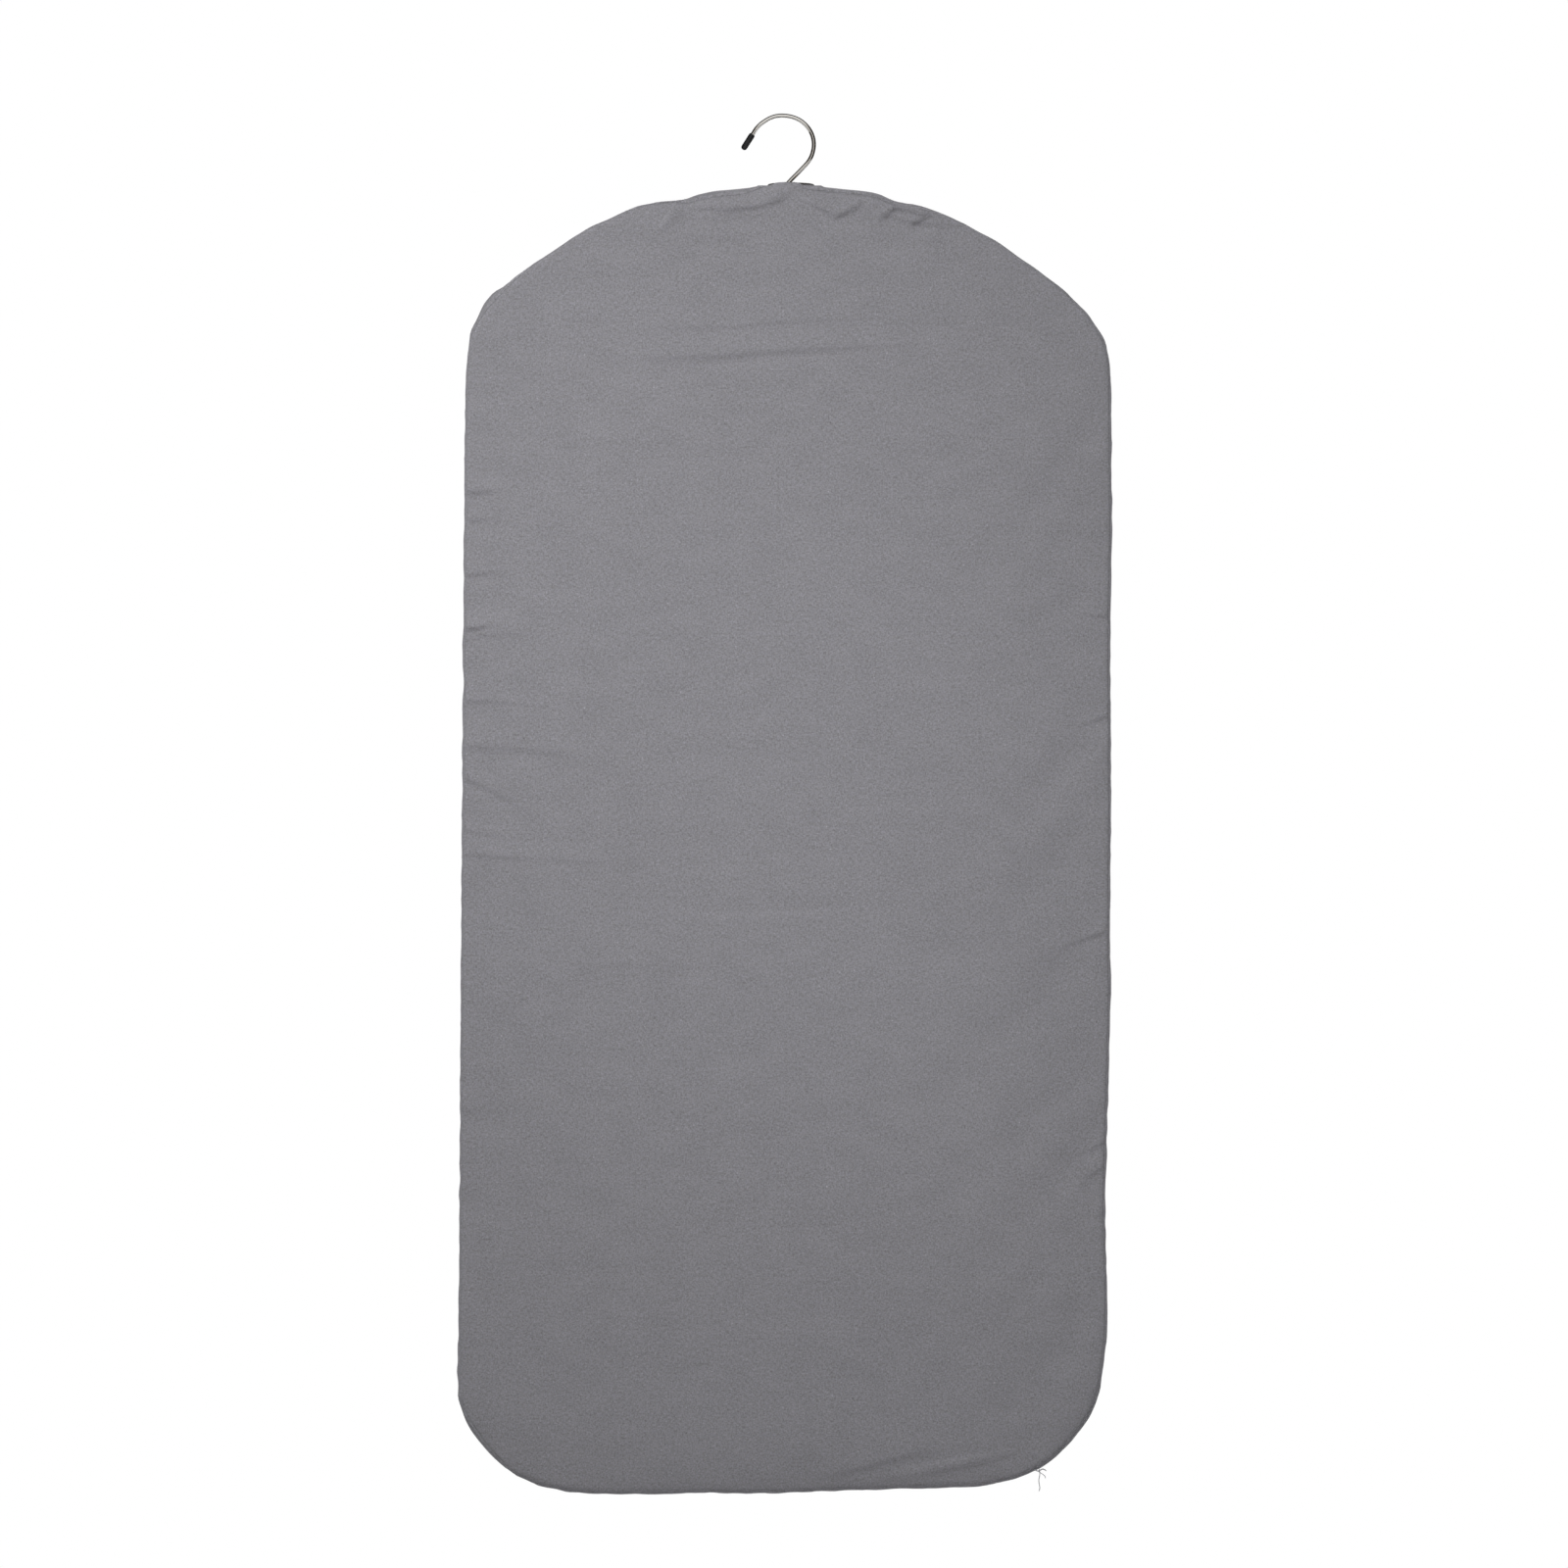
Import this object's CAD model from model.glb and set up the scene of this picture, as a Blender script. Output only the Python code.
# A hanging garment bag of grey cloth: front, back and gusset sewn together, a zip down the back,
# a wooden hanger inside and a chrome hook that comes out through an eyelet in the top.
# Lengths are millimetres and become metres in Blender. Seen from in front, x runs right and z up;
# the front faces -y. z = 0 is at the underside of the hook's crest, and the bag hangs below it.
import math
from types import SimpleNamespace

import bmesh
import bpy
import numpy as np
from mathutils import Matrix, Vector
from mathutils.bvhtree import BVHTree
from mathutils.geometry import delaunay_2d_cdt
from mathutils.kdtree import KDTree


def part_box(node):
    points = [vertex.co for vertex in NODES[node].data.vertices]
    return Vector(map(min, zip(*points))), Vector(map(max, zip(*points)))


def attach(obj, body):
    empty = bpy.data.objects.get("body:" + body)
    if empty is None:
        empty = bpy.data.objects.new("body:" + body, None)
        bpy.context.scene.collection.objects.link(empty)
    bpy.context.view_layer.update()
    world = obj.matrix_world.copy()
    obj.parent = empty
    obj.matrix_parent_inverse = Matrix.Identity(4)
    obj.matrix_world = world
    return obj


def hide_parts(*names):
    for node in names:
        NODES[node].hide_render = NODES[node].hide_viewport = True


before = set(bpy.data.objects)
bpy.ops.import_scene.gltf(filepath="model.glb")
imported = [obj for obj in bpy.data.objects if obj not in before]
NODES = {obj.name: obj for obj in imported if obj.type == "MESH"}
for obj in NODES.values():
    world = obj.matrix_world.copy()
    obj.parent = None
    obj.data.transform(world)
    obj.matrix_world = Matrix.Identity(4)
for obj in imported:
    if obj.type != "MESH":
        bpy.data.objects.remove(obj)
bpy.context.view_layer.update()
MM = 0.001
SIDES = (("left", -1), ("right", 1))

CAMERA_DISTANCE = 6000.0  # from the camera to the plane y = 0
CAMERA_Z = -574.2
FRAME_WIDTH = 1351.4  # what the camera takes in at the plane y = 0

CREASE_GAIN = 1.65
BILLOW_SHARE, BILLOW_LIMIT = 0.7, 4.0  # how much of the simulated billow is kept, and its cap
RUMPLE_SHARE, RUMPLE_LIMIT = 1.0, 2.4  # the same for the simulated creases

SEAM_Y = 22.0  # the seams lie this far in front of and behind the middle
BACK_RISE = 3.3  # the back panel stands this far behind its seam
RIM_STEP = 4.0  # spacing of the points along the seams
CLOTH_THICKNESS = 0.8
PANEL_LAYER, GUSSET_LAYER, PATCH_LAYER, TAB_LAYER = 80.0, 40.0, 120.0, 150.0  # weave depths

# Silhouette of the bag, clockwise as seen from in front, from the left shoulder: x, z.
OUTLINE = [
    (-216.2, -124.6), (-206.2, -118.2), (-183.8, -103.6), (-165.7, -93.2), (-135.1, -79.1),
    (-124.8, -75.4), (-108.3, -72.0), (-94.0, -71.3), (-87.5, -71.2), (-80.2, -69.0),
    (-75.2, -66.6), (-59.7, -63.2), (-40.0, -61.6), (-26.9, -60.2), (-18.0, -58.6),
    (-11.5, -56.4), (-4.0, -55.5), (3.0, -55.2), (11.8, -55.4), (19.0, -57.2),
    (27.0, -59.4), (36.0, -60.3), (50.0, -61.8), (66.0, -63.3), (75.8, -64.6),
    (84.5, -66.9), (90.0, -70.2), (95.1, -72.4), (104.0, -73.9), (115.8, -75.1),
    (124.4, -77.2), (144.7, -85.1), (171.8, -99.2), (187.8, -108.6), (220.4, -131.5),
    (243.0, -149.7), (261.5, -168.1), (271.8, -183.7), (276.0, -191.6), (280.6, -207.9),
    (281.8, -225.0), (282.7, -359.8), (281.1, -445.7), (281.9, -591.6), (280.8, -689.5),
    (281.7, -751.5), (279.0, -850.0), (276.6, -942.3), (278.6, -1011.2), (278.4, -1046.2),
    (275.8, -1075.0), (272.3, -1095.7), (268.2, -1109.0), (263.5, -1118.9), (257.1, -1129.0),
    (246.0, -1143.0), (239.5, -1148.6), (233.5, -1155.2), (223.2, -1162.3), (211.0, -1168.4),
    (196.9, -1173.6), (179.4, -1177.6), (163.5, -1179.9), (110.0, -1181.2), (53.6, -1182.6),
    (-6.3, -1185.2), (-62.3, -1185.0), (-147.2, -1186.2), (-172.2, -1185.5), (-188.0, -1183.5),
    (-210.4, -1178.6), (-222.5, -1174.3), (-231.5, -1170.1), (-241.1, -1163.0),
    (-262.3, -1141.9), (-268.2, -1134.0), (-274.2, -1123.0), (-281.2, -1102.8),
    (-281.2, -1075.9), (-280.0, -1004.0), (-279.0, -822.0), (-276.8, -500.0), (-275.0, -259.1),
    (-273.9, -218.1), (-270.6, -184.5), (-264.5, -172.0), (-257.9, -158.8), (-250.6, -150.4),
    (-234.6, -137.4)]

# Creases of the front panel: width, depth, stations x, z. A crease has a ridge above it and a
# hollow below it, or the reverse where the depth is negative, and fades towards its ends.
CREASES = [
    (5.8, 1.15, [(-135.136, -209.37634), (-67.568, -208.53174), (0, -203.46414),
                 (59.122, -200.08574), (122.467, -195.86274)]),
    (7.0, -0.3, [(-126.69, -216.97774), (-50.676, -216.13314), (25.338, -210.22094),
                 (84.46, -205.99794)]),
    (4.2, 0.55, [(-126.69, -183.19374), (-50.676, -182.34914), (25.338, -176.43694),
                 (88.683, -175.59234)]),
    (4.0, 0.25, [(-219.596, -176.43694), (-168.92, -175.59234), (-118.244, -179.81534)]),
    # from the left seam
    (4.8, 1.6, [(-282.0964, -324.24194), (-261.826, -324.24194), (-228.042, -321.70814)]),
    (4.2, 1.2, [(-282.0964, -349.57994), (-266.049, -347.89074), (-236.488, -347.04614)]),
    (4.2, 1.2, [(-282.0964, -396.87754), (-261.826, -394.34374), (-232.265, -392.65454)]),
    (4.2, 2.1, [(-282.0964, -443.33054), (-266.049, -440.79674), (-236.488, -436.57374)]),
    (4.6, 0.7, [(-278.718, -450.93194), (-253.38, -446.70894), (-202.704, -443.33054)]),
    (4.4, 0.7, [(-282.0964, -503.29714), (-253.38, -503.29714), (-168.92, -510.89854)]),
    (6.4, 0.9, [(-282.0964, -542.99334), (-244.934, -544.68254), (-168.92, -549.75014),
                (-92.906, -562.41914)]),
    (5.6, 1.7, [(-282.0964, -567.48674), (-261.826, -575.08814), (-240.711, -586.06794),
                (-219.596, -599.58154)]),
    (5.0, 0.8, [(-282.0964, -613.09514), (-253.38, -618.16274), (-202.704, -622.38574)]),
    (5.0, 0.7, [(-282.0964, -635.05474), (-219.596, -638.43314), (-152.028, -641.81154),
                (-67.568, -643.50074)]),
    # across the middle
    (5.0, -0.5, [(-126.69, -675.59554), (-50.676, -687.41994), (25.338, -684.04154),
                 (84.46, -677.28474)]),
    (6.5, 0.35, [(-202.704, -734.71754), (-135.136, -729.64994), (-59.122, -733.02834)]),
    # lower, from the left seam
    (3.2, 0.9, [(-282.0964, -852.96154), (-270.272, -854.65074), (-253.38, -855.49534)]),
    (3.2, 0.5, [(-282.0964, -709.37954), (-266.049, -711.06874), (-244.934, -711.06874)]),
    # from the right seam
    (4.2, 1.2, [(287.164, -432.35074), (266.049, -429.81694), (240.711, -428.12774)]),
    (4.2, 1.4, [(287.164, -513.43234), (266.049, -520.18914), (246.6232, -527.79054)]),
    (4.0, 0.5, [(287.164, -549.75014), (261.826, -557.35154), (240.711, -565.79754)]),
    (4.6, 1.4, [(287.164, -698.39974), (261.826, -706.84574), (229.7312, -717.82554)]),
    (4.6, 1.6, [(287.164, -874.92114), (266.049, -886.74554), (246.6232, -898.56994)]),
    (4.8, 1.4, [(287.164, -896.88074), (268.5828, -907.01594), (251.6908, -918.84034)]),
    (3.6, 0.8, [(287.164, -934.04314), (270.272, -944.17834), (256.7584, -956.00274)]),
    (3.6, 0.5, [(287.164, -989.78674), (270.272, -994.85434), (253.38, -998.23274)]),
    # along the bottom
    (5.5, 1.0, [(32.0948, -1170.53114), (67.568, -1161.24054), (105.575, -1151.10534),
                (126.69, -1146.88234)]),
    (5.5, 1.1, [(80.237, -1173.06494), (126.69, -1165.46354), (177.366, -1155.32834),
                (211.15, -1146.88234)]),
    (4.5, -0.8, [(88.683, -1164.61894), (126.69, -1157.01754), (160.474, -1150.26074),
                 (194.258, -1143.50394)]),
    (6.0, 0.45, [(-190.035, -1136.74714), (-135.136, -1140.12554), (-92.906, -1135.90254)]),
    (3.6, 0.5, [(-160.474, -1177.28794), (-156.251, -1163.77434), (-153.7172, -1151.94994)]),
    # below the top edge
    (9.0, 0.7, [(-126.69, -103.80134), (-67.568, -107.17974), (-8.446, -104.64594)]),
    (8.0, 0.6, [(33.784, -101.26754), (84.46, -106.33514), (135.136, -111.40274)]),
    # gathers under the hook
    (5.4, 2.2, [(-84.46, -78.46334), (-50.676, -81.84174), (-21.115, -79.30794),
                (-2.5338, -73.39574), (5.0676, -67.48354), (10.1352, -60.72674)]),
    (5.0, 0.9, [(-80.237, -90.28774), (-46.453, -87.75394), (-12.669, -86.90934),
                (0, -83.53094)]),
    (4.0, 2.2, [(-109.798, -97.88914), (-100.5074, -86.90934), (-89.5276, -74.24034)]),
    (4.6, 1.9, [(15.2028, -72.55114), (27.0272, -78.46334), (40.5408, -85.22014),
                (54.0544, -86.06474)]),
    (3.4, 1.6, [(38.8516, -91.13234), (51.5206, -85.22014), (64.1896, -77.61874),
                (70.9464, -72.55114)]),
    (3.8, 1.2, [(99.6628, -94.51074), (91.2168, -87.75394), (81.0816, -82.68634)]),
    (7.0, 4.2, [(70.9464, -74.24034), (89.5276, -78.46334), (111.4872, -82.68634),
                (136.8252, -89.44314)]),
    (5.0, 2.0, [(86.9938, -86.90934), (105.575, -91.13234), (126.69, -94.51074),
                (147.805, -97.04454)]),
    (4.5, 0.6, [(109.798, -104.64594), (126.69, -108.02434), (147.805, -109.71354)]),
    (4.6, 2.2, [(79.3924, -91.97694), (91.2168, -83.53094), (104.7304, -73.39574)]),
    (4.2, 1.3, [(105.575, -97.88914), (118.244, -89.44314), (130.913, -81.84174)]),
]


# ---------------------------------------------------------------- curves and profiles
def smoothstep(lo, hi, x):
    t = np.clip((np.asarray(x, float) - lo) / (hi - lo), 0, 1)
    return t * t * (3 - 2 * t)


def band(x, lo, hi, soft):
    """1 between lo and hi, 0 outside, with soft ends."""
    return smoothstep(lo - soft, lo + soft, x) * (1 - smoothstep(hi - soft, hi + soft, x))


def unit_rows(vectors):
    return vectors / np.linalg.norm(vectors, axis=1)[:, None]


def run_lengths(points):
    """Length along a line of points, up to each of them."""
    return np.r_[0, np.cumsum(np.linalg.norm(np.diff(points, axis=0), axis=1))]


def resample(points, step):
    """A closed loop again, with an even number of points about a step apart."""
    points = np.asarray(points, float)
    closed = np.vstack([points, points[:1]])
    length = run_lengths(closed)
    count = 2 * int(round(length[-1] / step / 2))
    at = np.linspace(0, length[-1], count, endpoint=False)
    return np.stack([np.interp(at, length, closed[:, k]) for k in range(points.shape[1])], 1)


def smooth_loop(values, sigma):
    reach = int(sigma * 3) + 1
    kernel = np.exp(-0.5 * (np.arange(-reach, reach + 1) / sigma) ** 2)
    kernel /= kernel.sum()
    return np.stack([np.convolve(np.r_[c[-reach:], c, c[:reach]], kernel, "valid")
                     for c in values.T], 1)


def outward_normals(loop, sigma=1.5):
    tangent = unit_rows(smooth_loop(np.roll(loop, -1, 0) - np.roll(loop, 1, 0), sigma))
    return np.stack([-tangent[:, 1], tangent[:, 0]], 1)


def catmull(points, count):
    """Catmull-Rom curve through the points, with count steps between neighbours."""
    p = np.asarray(points, float)
    q = np.vstack([2 * p[0] - p[1], p, 2 * p[-1] - p[-2]])
    out = []
    for a, b, c, d in zip(q, q[1:], q[2:], q[3:]):
        for t in np.linspace(0, 1, count, endpoint=False):
            out.append(0.5 * ((2 * b) + (-a + c) * t + (2 * a - 5 * b + 4 * c - d) * t ** 2
                              + (-a + 3 * b - 3 * c + d) * t ** 3))
    out.append(p[-1])
    return np.array(out)


def unproject(seen, y):
    """x, z of the points at depth y that the camera sees at seen in the plane y = 0."""
    scale = (CAMERA_DISTANCE + np.asarray(y, float)) / CAMERA_DISTANCE
    axis = np.array([0, CAMERA_Z])
    return axis + (seen - axis) * scale[:, None]


# ---------------------------------------------------------------- seam loops
RIM = resample(smooth_loop(resample(OUTLINE, 1.0), 2.6), RIM_STEP)  # silhouette, at y = 0
RIM_COUNT = len(RIM)
OUTWARD = outward_normals(RIM, 1.2)
RIM_ARC = np.arange(RIM_COUNT) * RIM_STEP


def arc_gap(x, z):
    """Distance along the rim from its point nearest to x, z."""
    nearest = np.argmin(np.hypot(RIM[:, 0] - x, RIM[:, 1] - z))
    gap = np.abs(RIM_ARC - RIM_ARC[nearest])
    return np.minimum(gap, RIM_COUNT * RIM_STEP - gap)


def wobble(seed, wavelengths, height):
    random = np.random.default_rng(seed)
    out = np.zeros(RIM_COUNT)
    for wavelength in wavelengths:
        turns = max(1, round(RIM_COUNT * RIM_STEP / wavelength))
        angle = 2 * math.pi * turns * RIM_ARC / (RIM_COUNT * RIM_STEP)
        out += np.sin(angle + random.uniform(0, 6.28)) * random.uniform(0.5, 1)
    return height * out / len(wavelengths)


topside = RIM[:, 1] > -80
lip = topside * band(RIM[:, 0], -9.5, 14.5, 2.5)
hump_left = topside * band(RIM[:, 0], -86, -27, 5)
hump_right = topside * band(RIM[:, 0], 18, 93, 4)
eyelet_zone = topside & (RIM[:, 0] > -24) & (RIM[:, 0] < 33)

front_inset = 1.0 + wobble(5, (31, 47, 83), 0.35) + 3.1 * hump_left + 1.5 * hump_right
# Where the front seam lies further in: x, z, extra inset, spread along the rim.
for x, z, extra, spread in ((-249, -152, 4.4, 27), (-266, -1136, 2.4, 22), (262, -1121, 0.7, 60)):
    front_inset = front_inset + extra * np.exp(-(arc_gap(x, z) / spread) ** 2)
front_inset = front_inset * (1 - lip)
back_inset = 2.2 + wobble(9, (37, 59, 97), 0.4) + 3.0 * topside * band(RIM[:, 0], -90, 95, 6)

FRONT_SEAM_Y = -SEAM_Y - 2.2 * lip - 0.8 * hump_left
FRONT_SEAM = unproject(RIM - OUTWARD * front_inset[:, None], FRONT_SEAM_Y)
BACK_SEAM = RIM - OUTWARD * back_inset[:, None]
RIDGE = RIM.copy()  # ridge of the gusset, half way back
RIDGE[eyelet_zone, 1] = np.minimum(RIDGE[eyelet_zone, 1], -59.9)


# ---------------------------------------------------------------- wrinkles
def along(points, line):
    """Distance to a polyline, signed by side, and the share of its length at the nearest point."""
    best = np.full(len(points), 1e9)
    side = np.zeros(len(points))
    share = np.zeros(len(points))
    steps = np.diff(line, axis=0)
    lengths = np.linalg.norm(steps, axis=1)
    total = lengths.sum()
    done = 0.0
    for start, step, length in zip(line[:-1], steps, lengths):
        t = np.clip(((points - start) @ step) / (length * length), 0, 1)
        off = points - (start + t[:, None] * step)
        gap = np.linalg.norm(off, axis=1)
        near = gap < best
        best = np.where(near, gap, best)
        side = np.where(near, np.sign(step[0] * off[:, 1] - step[1] * off[:, 0]), side)
        share = np.where(near, (done + t * length) / total, share)
        done += length
    return best * side, share


def hook_zone(xz):
    """1 round the hook hole, where the cloth lies smooth, and 0 elsewhere."""
    return smoothstep(-112, -92, xz[:, 1]) * (1 - smoothstep(90, 120, np.abs(xz[:, 0])))


def crease_core(width):
    return 0.42 * width


def crease_height(xz, table, from_seam=True):
    """Height of the creases: a step down across each line, steep at it, that dies away slowly."""
    height = np.zeros(len(xz))
    for width, depth, line in table:
        line = np.array(line)
        core = crease_core(width)
        margin = 9 * core + 2
        box = np.all((xz > line.min(0) - margin) & (xz < line.max(0) + margin), axis=1)
        if not box.any():
            continue
        gap, share = along(xz[box], line)
        run = line[-1] - line[0]
        up = gap if abs(run[0]) > abs(run[1]) and run[0] > 0 else -gap
        # a crease that starts at the seam is deepest there
        if from_seam and (abs(abs(line[0, 0]) - 281) < 7 or line[0, 1] > -72.5):
            fade = 1 - smoothstep(0.2, 1.0, share)
        else:
            fade = np.sin(math.pi * np.clip(share, 0, 1)) ** 0.7
        u = up / core
        step = (0.55 * np.tanh(u) + 0.3) * np.exp(-(u / 4.2) ** 2)
        height[box] += CREASE_GAIN * depth * fade * step
    return height


def waves(points, seed, count, across, down, height):
    """A sum of low, long ripples; across and down are their typical lengths."""
    random = np.random.default_rng(seed)
    out = np.zeros(len(points))
    for _ in range(count):
        kx = random.normal(0, 1) / across
        kz = random.choice((-1, 1)) * random.uniform(0.6, 1.5) / down
        angle = 2 * math.pi * (kx * points[:, 0] + kz * points[:, 1])
        out += np.sin(angle + random.uniform(0, 6.28)) * random.uniform(0.4, 1)
    return height * out / math.sqrt(count)


# ---------------------------------------------------------------- shell mesh
def inside(points, polygon):
    x, y = points[:, 0], points[:, 1]
    out = np.zeros(len(points), bool)
    for (x0, y0), (x1, y1) in zip(polygon, np.roll(polygon, -1, 0)):
        if y0 == y1:
            continue
        spans = (y0 > y) != (y1 > y)
        out ^= spans & (x < (x1 - x0) * (y - y0) / (y1 - y0) + x0)
    return out


def loop_distance(points, loop):
    out = np.full(len(points), 1e9)
    for i in range(0, len(points), 4000):
        part = points[i:i + 4000]
        out[i:i + 4000] = np.sqrt(((part[:, None] - loop[None]) ** 2).sum(2).min(1))
    return out


def thin(points, taken, gap):
    """Leaves out points closer than gap to a taken one, or to an earlier one of their own."""
    if not len(points):
        return points
    tree = KDTree(len(taken))
    for i, p in enumerate(taken):
        tree.insert((p[0], p[1], 0), i)
    tree.balance()
    cells, out = {}, []
    for p in points:
        if tree.find((p[0], p[1], 0))[2] < gap:
            continue
        i, j = int(p[0] // gap), int(p[1] // gap)
        near = [q for di in (-1, 0, 1) for dj in (-1, 0, 1) for q in cells.get((i + di, j + dj), ())]
        if all((p[0] - q[0]) ** 2 + (p[1] - q[1]) ** 2 >= gap * gap for q in near):
            cells.setdefault((i, j), []).append(p)
            out.append(p)
    return np.array(out).reshape(-1, 2)


def crease_rows(table):
    """Rows of points beside every crease, closer together near its line."""
    for width, _, line in table:
        line = np.array(line)
        length = run_lengths(line)
        at = np.linspace(0, length[-1], max(3, int(length[-1] / 3.2)))
        centre = np.stack([np.interp(at, length, line[:, k]) for k in range(2)], 1)
        run = unit_rows(np.gradient(centre, axis=0))
        normal = np.stack([-run[:, 1], run[:, 0]], 1)
        for k, offset in enumerate((0, 0.7, -0.7, 1.5, -1.5, 2.6, -2.6, 4.2, -4.2)):
            first, step = (k // 2) % 2, 1 if abs(offset) < 2 else 2
            yield (centre + normal * offset * crease_core(width))[first::step]


def triangulate(loop, grid, rings, lines=(), table=()):
    """Fills a loop: rings near its edge, rows beside creases, upright lines, then an even field.

    Returns the points (the loop first) and the faces.
    """
    n = len(loop)
    normal = outward_normals(loop)
    points = loop.copy()
    dense = resample(loop, 2.0)
    if table:
        rows = np.concatenate(list(crease_rows(table)))
        rows = rows[inside(rows, loop)]
        rows = rows[loop_distance(rows, dense) > 1.3]
        points = np.concatenate([points, thin(rows, points, 1.0)])
    for k, inset in enumerate(rings):
        first, step = (k % 2) if inset > 6 else 0, 2 if inset > 9 else 1
        ring = (loop - normal * inset)[first::step]
        points = np.concatenate([points, thin(ring, points, min(1.15, 0.7 * inset))])
    lo, hi = loop.min(0), loop.max(0)
    field = []
    for j, z in enumerate(np.arange(lo[1], hi[1], grid * 0.866)):
        xs = np.arange(lo[0], hi[0], grid) + (grid / 2 if j % 2 else 0)
        field.append(np.stack([xs, np.full(len(xs), z)], 1))
    field = np.concatenate(field)
    field = field[inside(field, loop)]
    field = field[loop_distance(field, dense) > rings[-1] + grid * 0.5]
    points = np.concatenate([points, thin(field, points, grid * 0.62)])
    edges = [(i, (i + 1) % n) for i in range(n)]
    keep = np.ones(len(points), bool)
    for x in lines:
        keep[n:] &= np.abs(points[n:, 0] - x) > 1.6
    points = points[keep]
    for x in lines:
        crossing = []
        for (x0, z0), (x1, z1) in zip(loop, np.roll(loop, -1, 0)):
            if (x0 - x) * (x1 - x) <= 0 and x0 != x1:
                crossing.append(z0 + (z1 - z0) * (x - x0) / (x1 - x0))
        top, bottom = max(crossing), min(crossing)
        zs = np.linspace(top - 0.8, bottom + 0.8, int((top - bottom) / 4.2))
        start = len(points)
        points = np.concatenate([points, np.stack([np.full(len(zs), x), zs], 1)])
        edges += [(start + i, start + i + 1) for i in range(len(zs) - 1)]
    verts, _, faces, _, _, _ = delaunay_2d_cdt([Vector(p) for p in points], edges, [], 1, 1e-4)
    return np.array([tuple(v) for v in verts]), faces


ZIP_SLOT_X = 7.0  # half width of the gap that the zip fills
FRONT, GUSSET_LEFT, GUSSET_RIGHT, BACK_LEFT, BACK_RIGHT, ZIP_SLOT, PATCH = range(7)


def on_patch(x, z):
    """Whether a place on the rim belongs to the patch round the eyelet."""
    return z > -76 and -88 < x < 94


def front_panel_rest(points, n):
    """Places of the front panel's points at rest, and their distances to the seam."""
    depth = loop_distance(points, resample(FRONT_SEAM, 1.0))
    depth[:n] = 0
    x, z = points.T
    y = np.full(len(points), -SEAM_Y)
    y[:n] = FRONT_SEAM_Y[::RIM_COUNT // n]
    near_lip = (z > -75) & (x > -16) & (x < 22) & (np.arange(len(points)) >= n)
    y = np.where(near_lip, y - 2.2 * np.exp(-depth / 9) * band(x, -9.5, 14.5, 4), y)
    crown = 3.0 * (1 - np.clip(np.abs(x) / 278, 0, 1) ** 2.4)
    crown *= 1 - np.clip(np.abs(z + 620) / 566, 0, 1) ** 3
    shoulder = 3.2 * band(x, 110, 400, 40) + 1.6 * band(-x, 150, 400, 40)
    shoulder = shoulder * smoothstep(-330, -170, z) * np.exp(-(depth / 42) ** 2)
    y = y - 4.0 * (1 - np.exp(-depth / 5.5)) - crown + shoulder * (1 - np.exp(-depth / 12))
    return np.stack([x, y, z], 1), depth


def back_panel_rest(points, n):
    depth = loop_distance(points, resample(BACK_SEAM, 1.0))
    depth[:n] = 0
    x, z = points.T
    crown = 2.0 * smoothstep(30, 110, np.abs(x)) * (1 - np.clip(np.abs(x) / 276, 0, 1) ** 3)
    crown *= 1 - np.clip(np.abs(z + 620) / 562, 0, 1) ** 3
    y = SEAM_Y + BACK_RISE * (1 - np.exp(-depth / 4.0)) + crown
    return np.stack([x, y, z], 1), depth


def gusset_row(step, t):
    """One loop of the gusset, at share t of the way from the front seam to the back seam."""
    front, back, ridge = FRONT_SEAM[::step], BACK_SEAM[::step], RIDGE[::step]
    front_y, outward, eye = FRONT_SEAM_Y[::step], OUTWARD[::step], eyelet_zone[::step]
    flat = front * (1 - t) + back * t
    reach = np.where(eye, 0, ((ridge - (front + back) / 2) * outward).sum(1))
    row = flat + outward * (reach * math.sin(math.pi * t) ** 0.55)[:, None]
    rise = min(1, t / 0.07, (1 - t) / 0.07)
    row[eye, 1] = flat[eye, 1] + (ridge[eye, 1] - flat[eye, 1]) * rise
    return np.stack([row[:, 0], front_y + (SEAM_Y - front_y) * t, row[:, 1]], 1)


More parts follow.
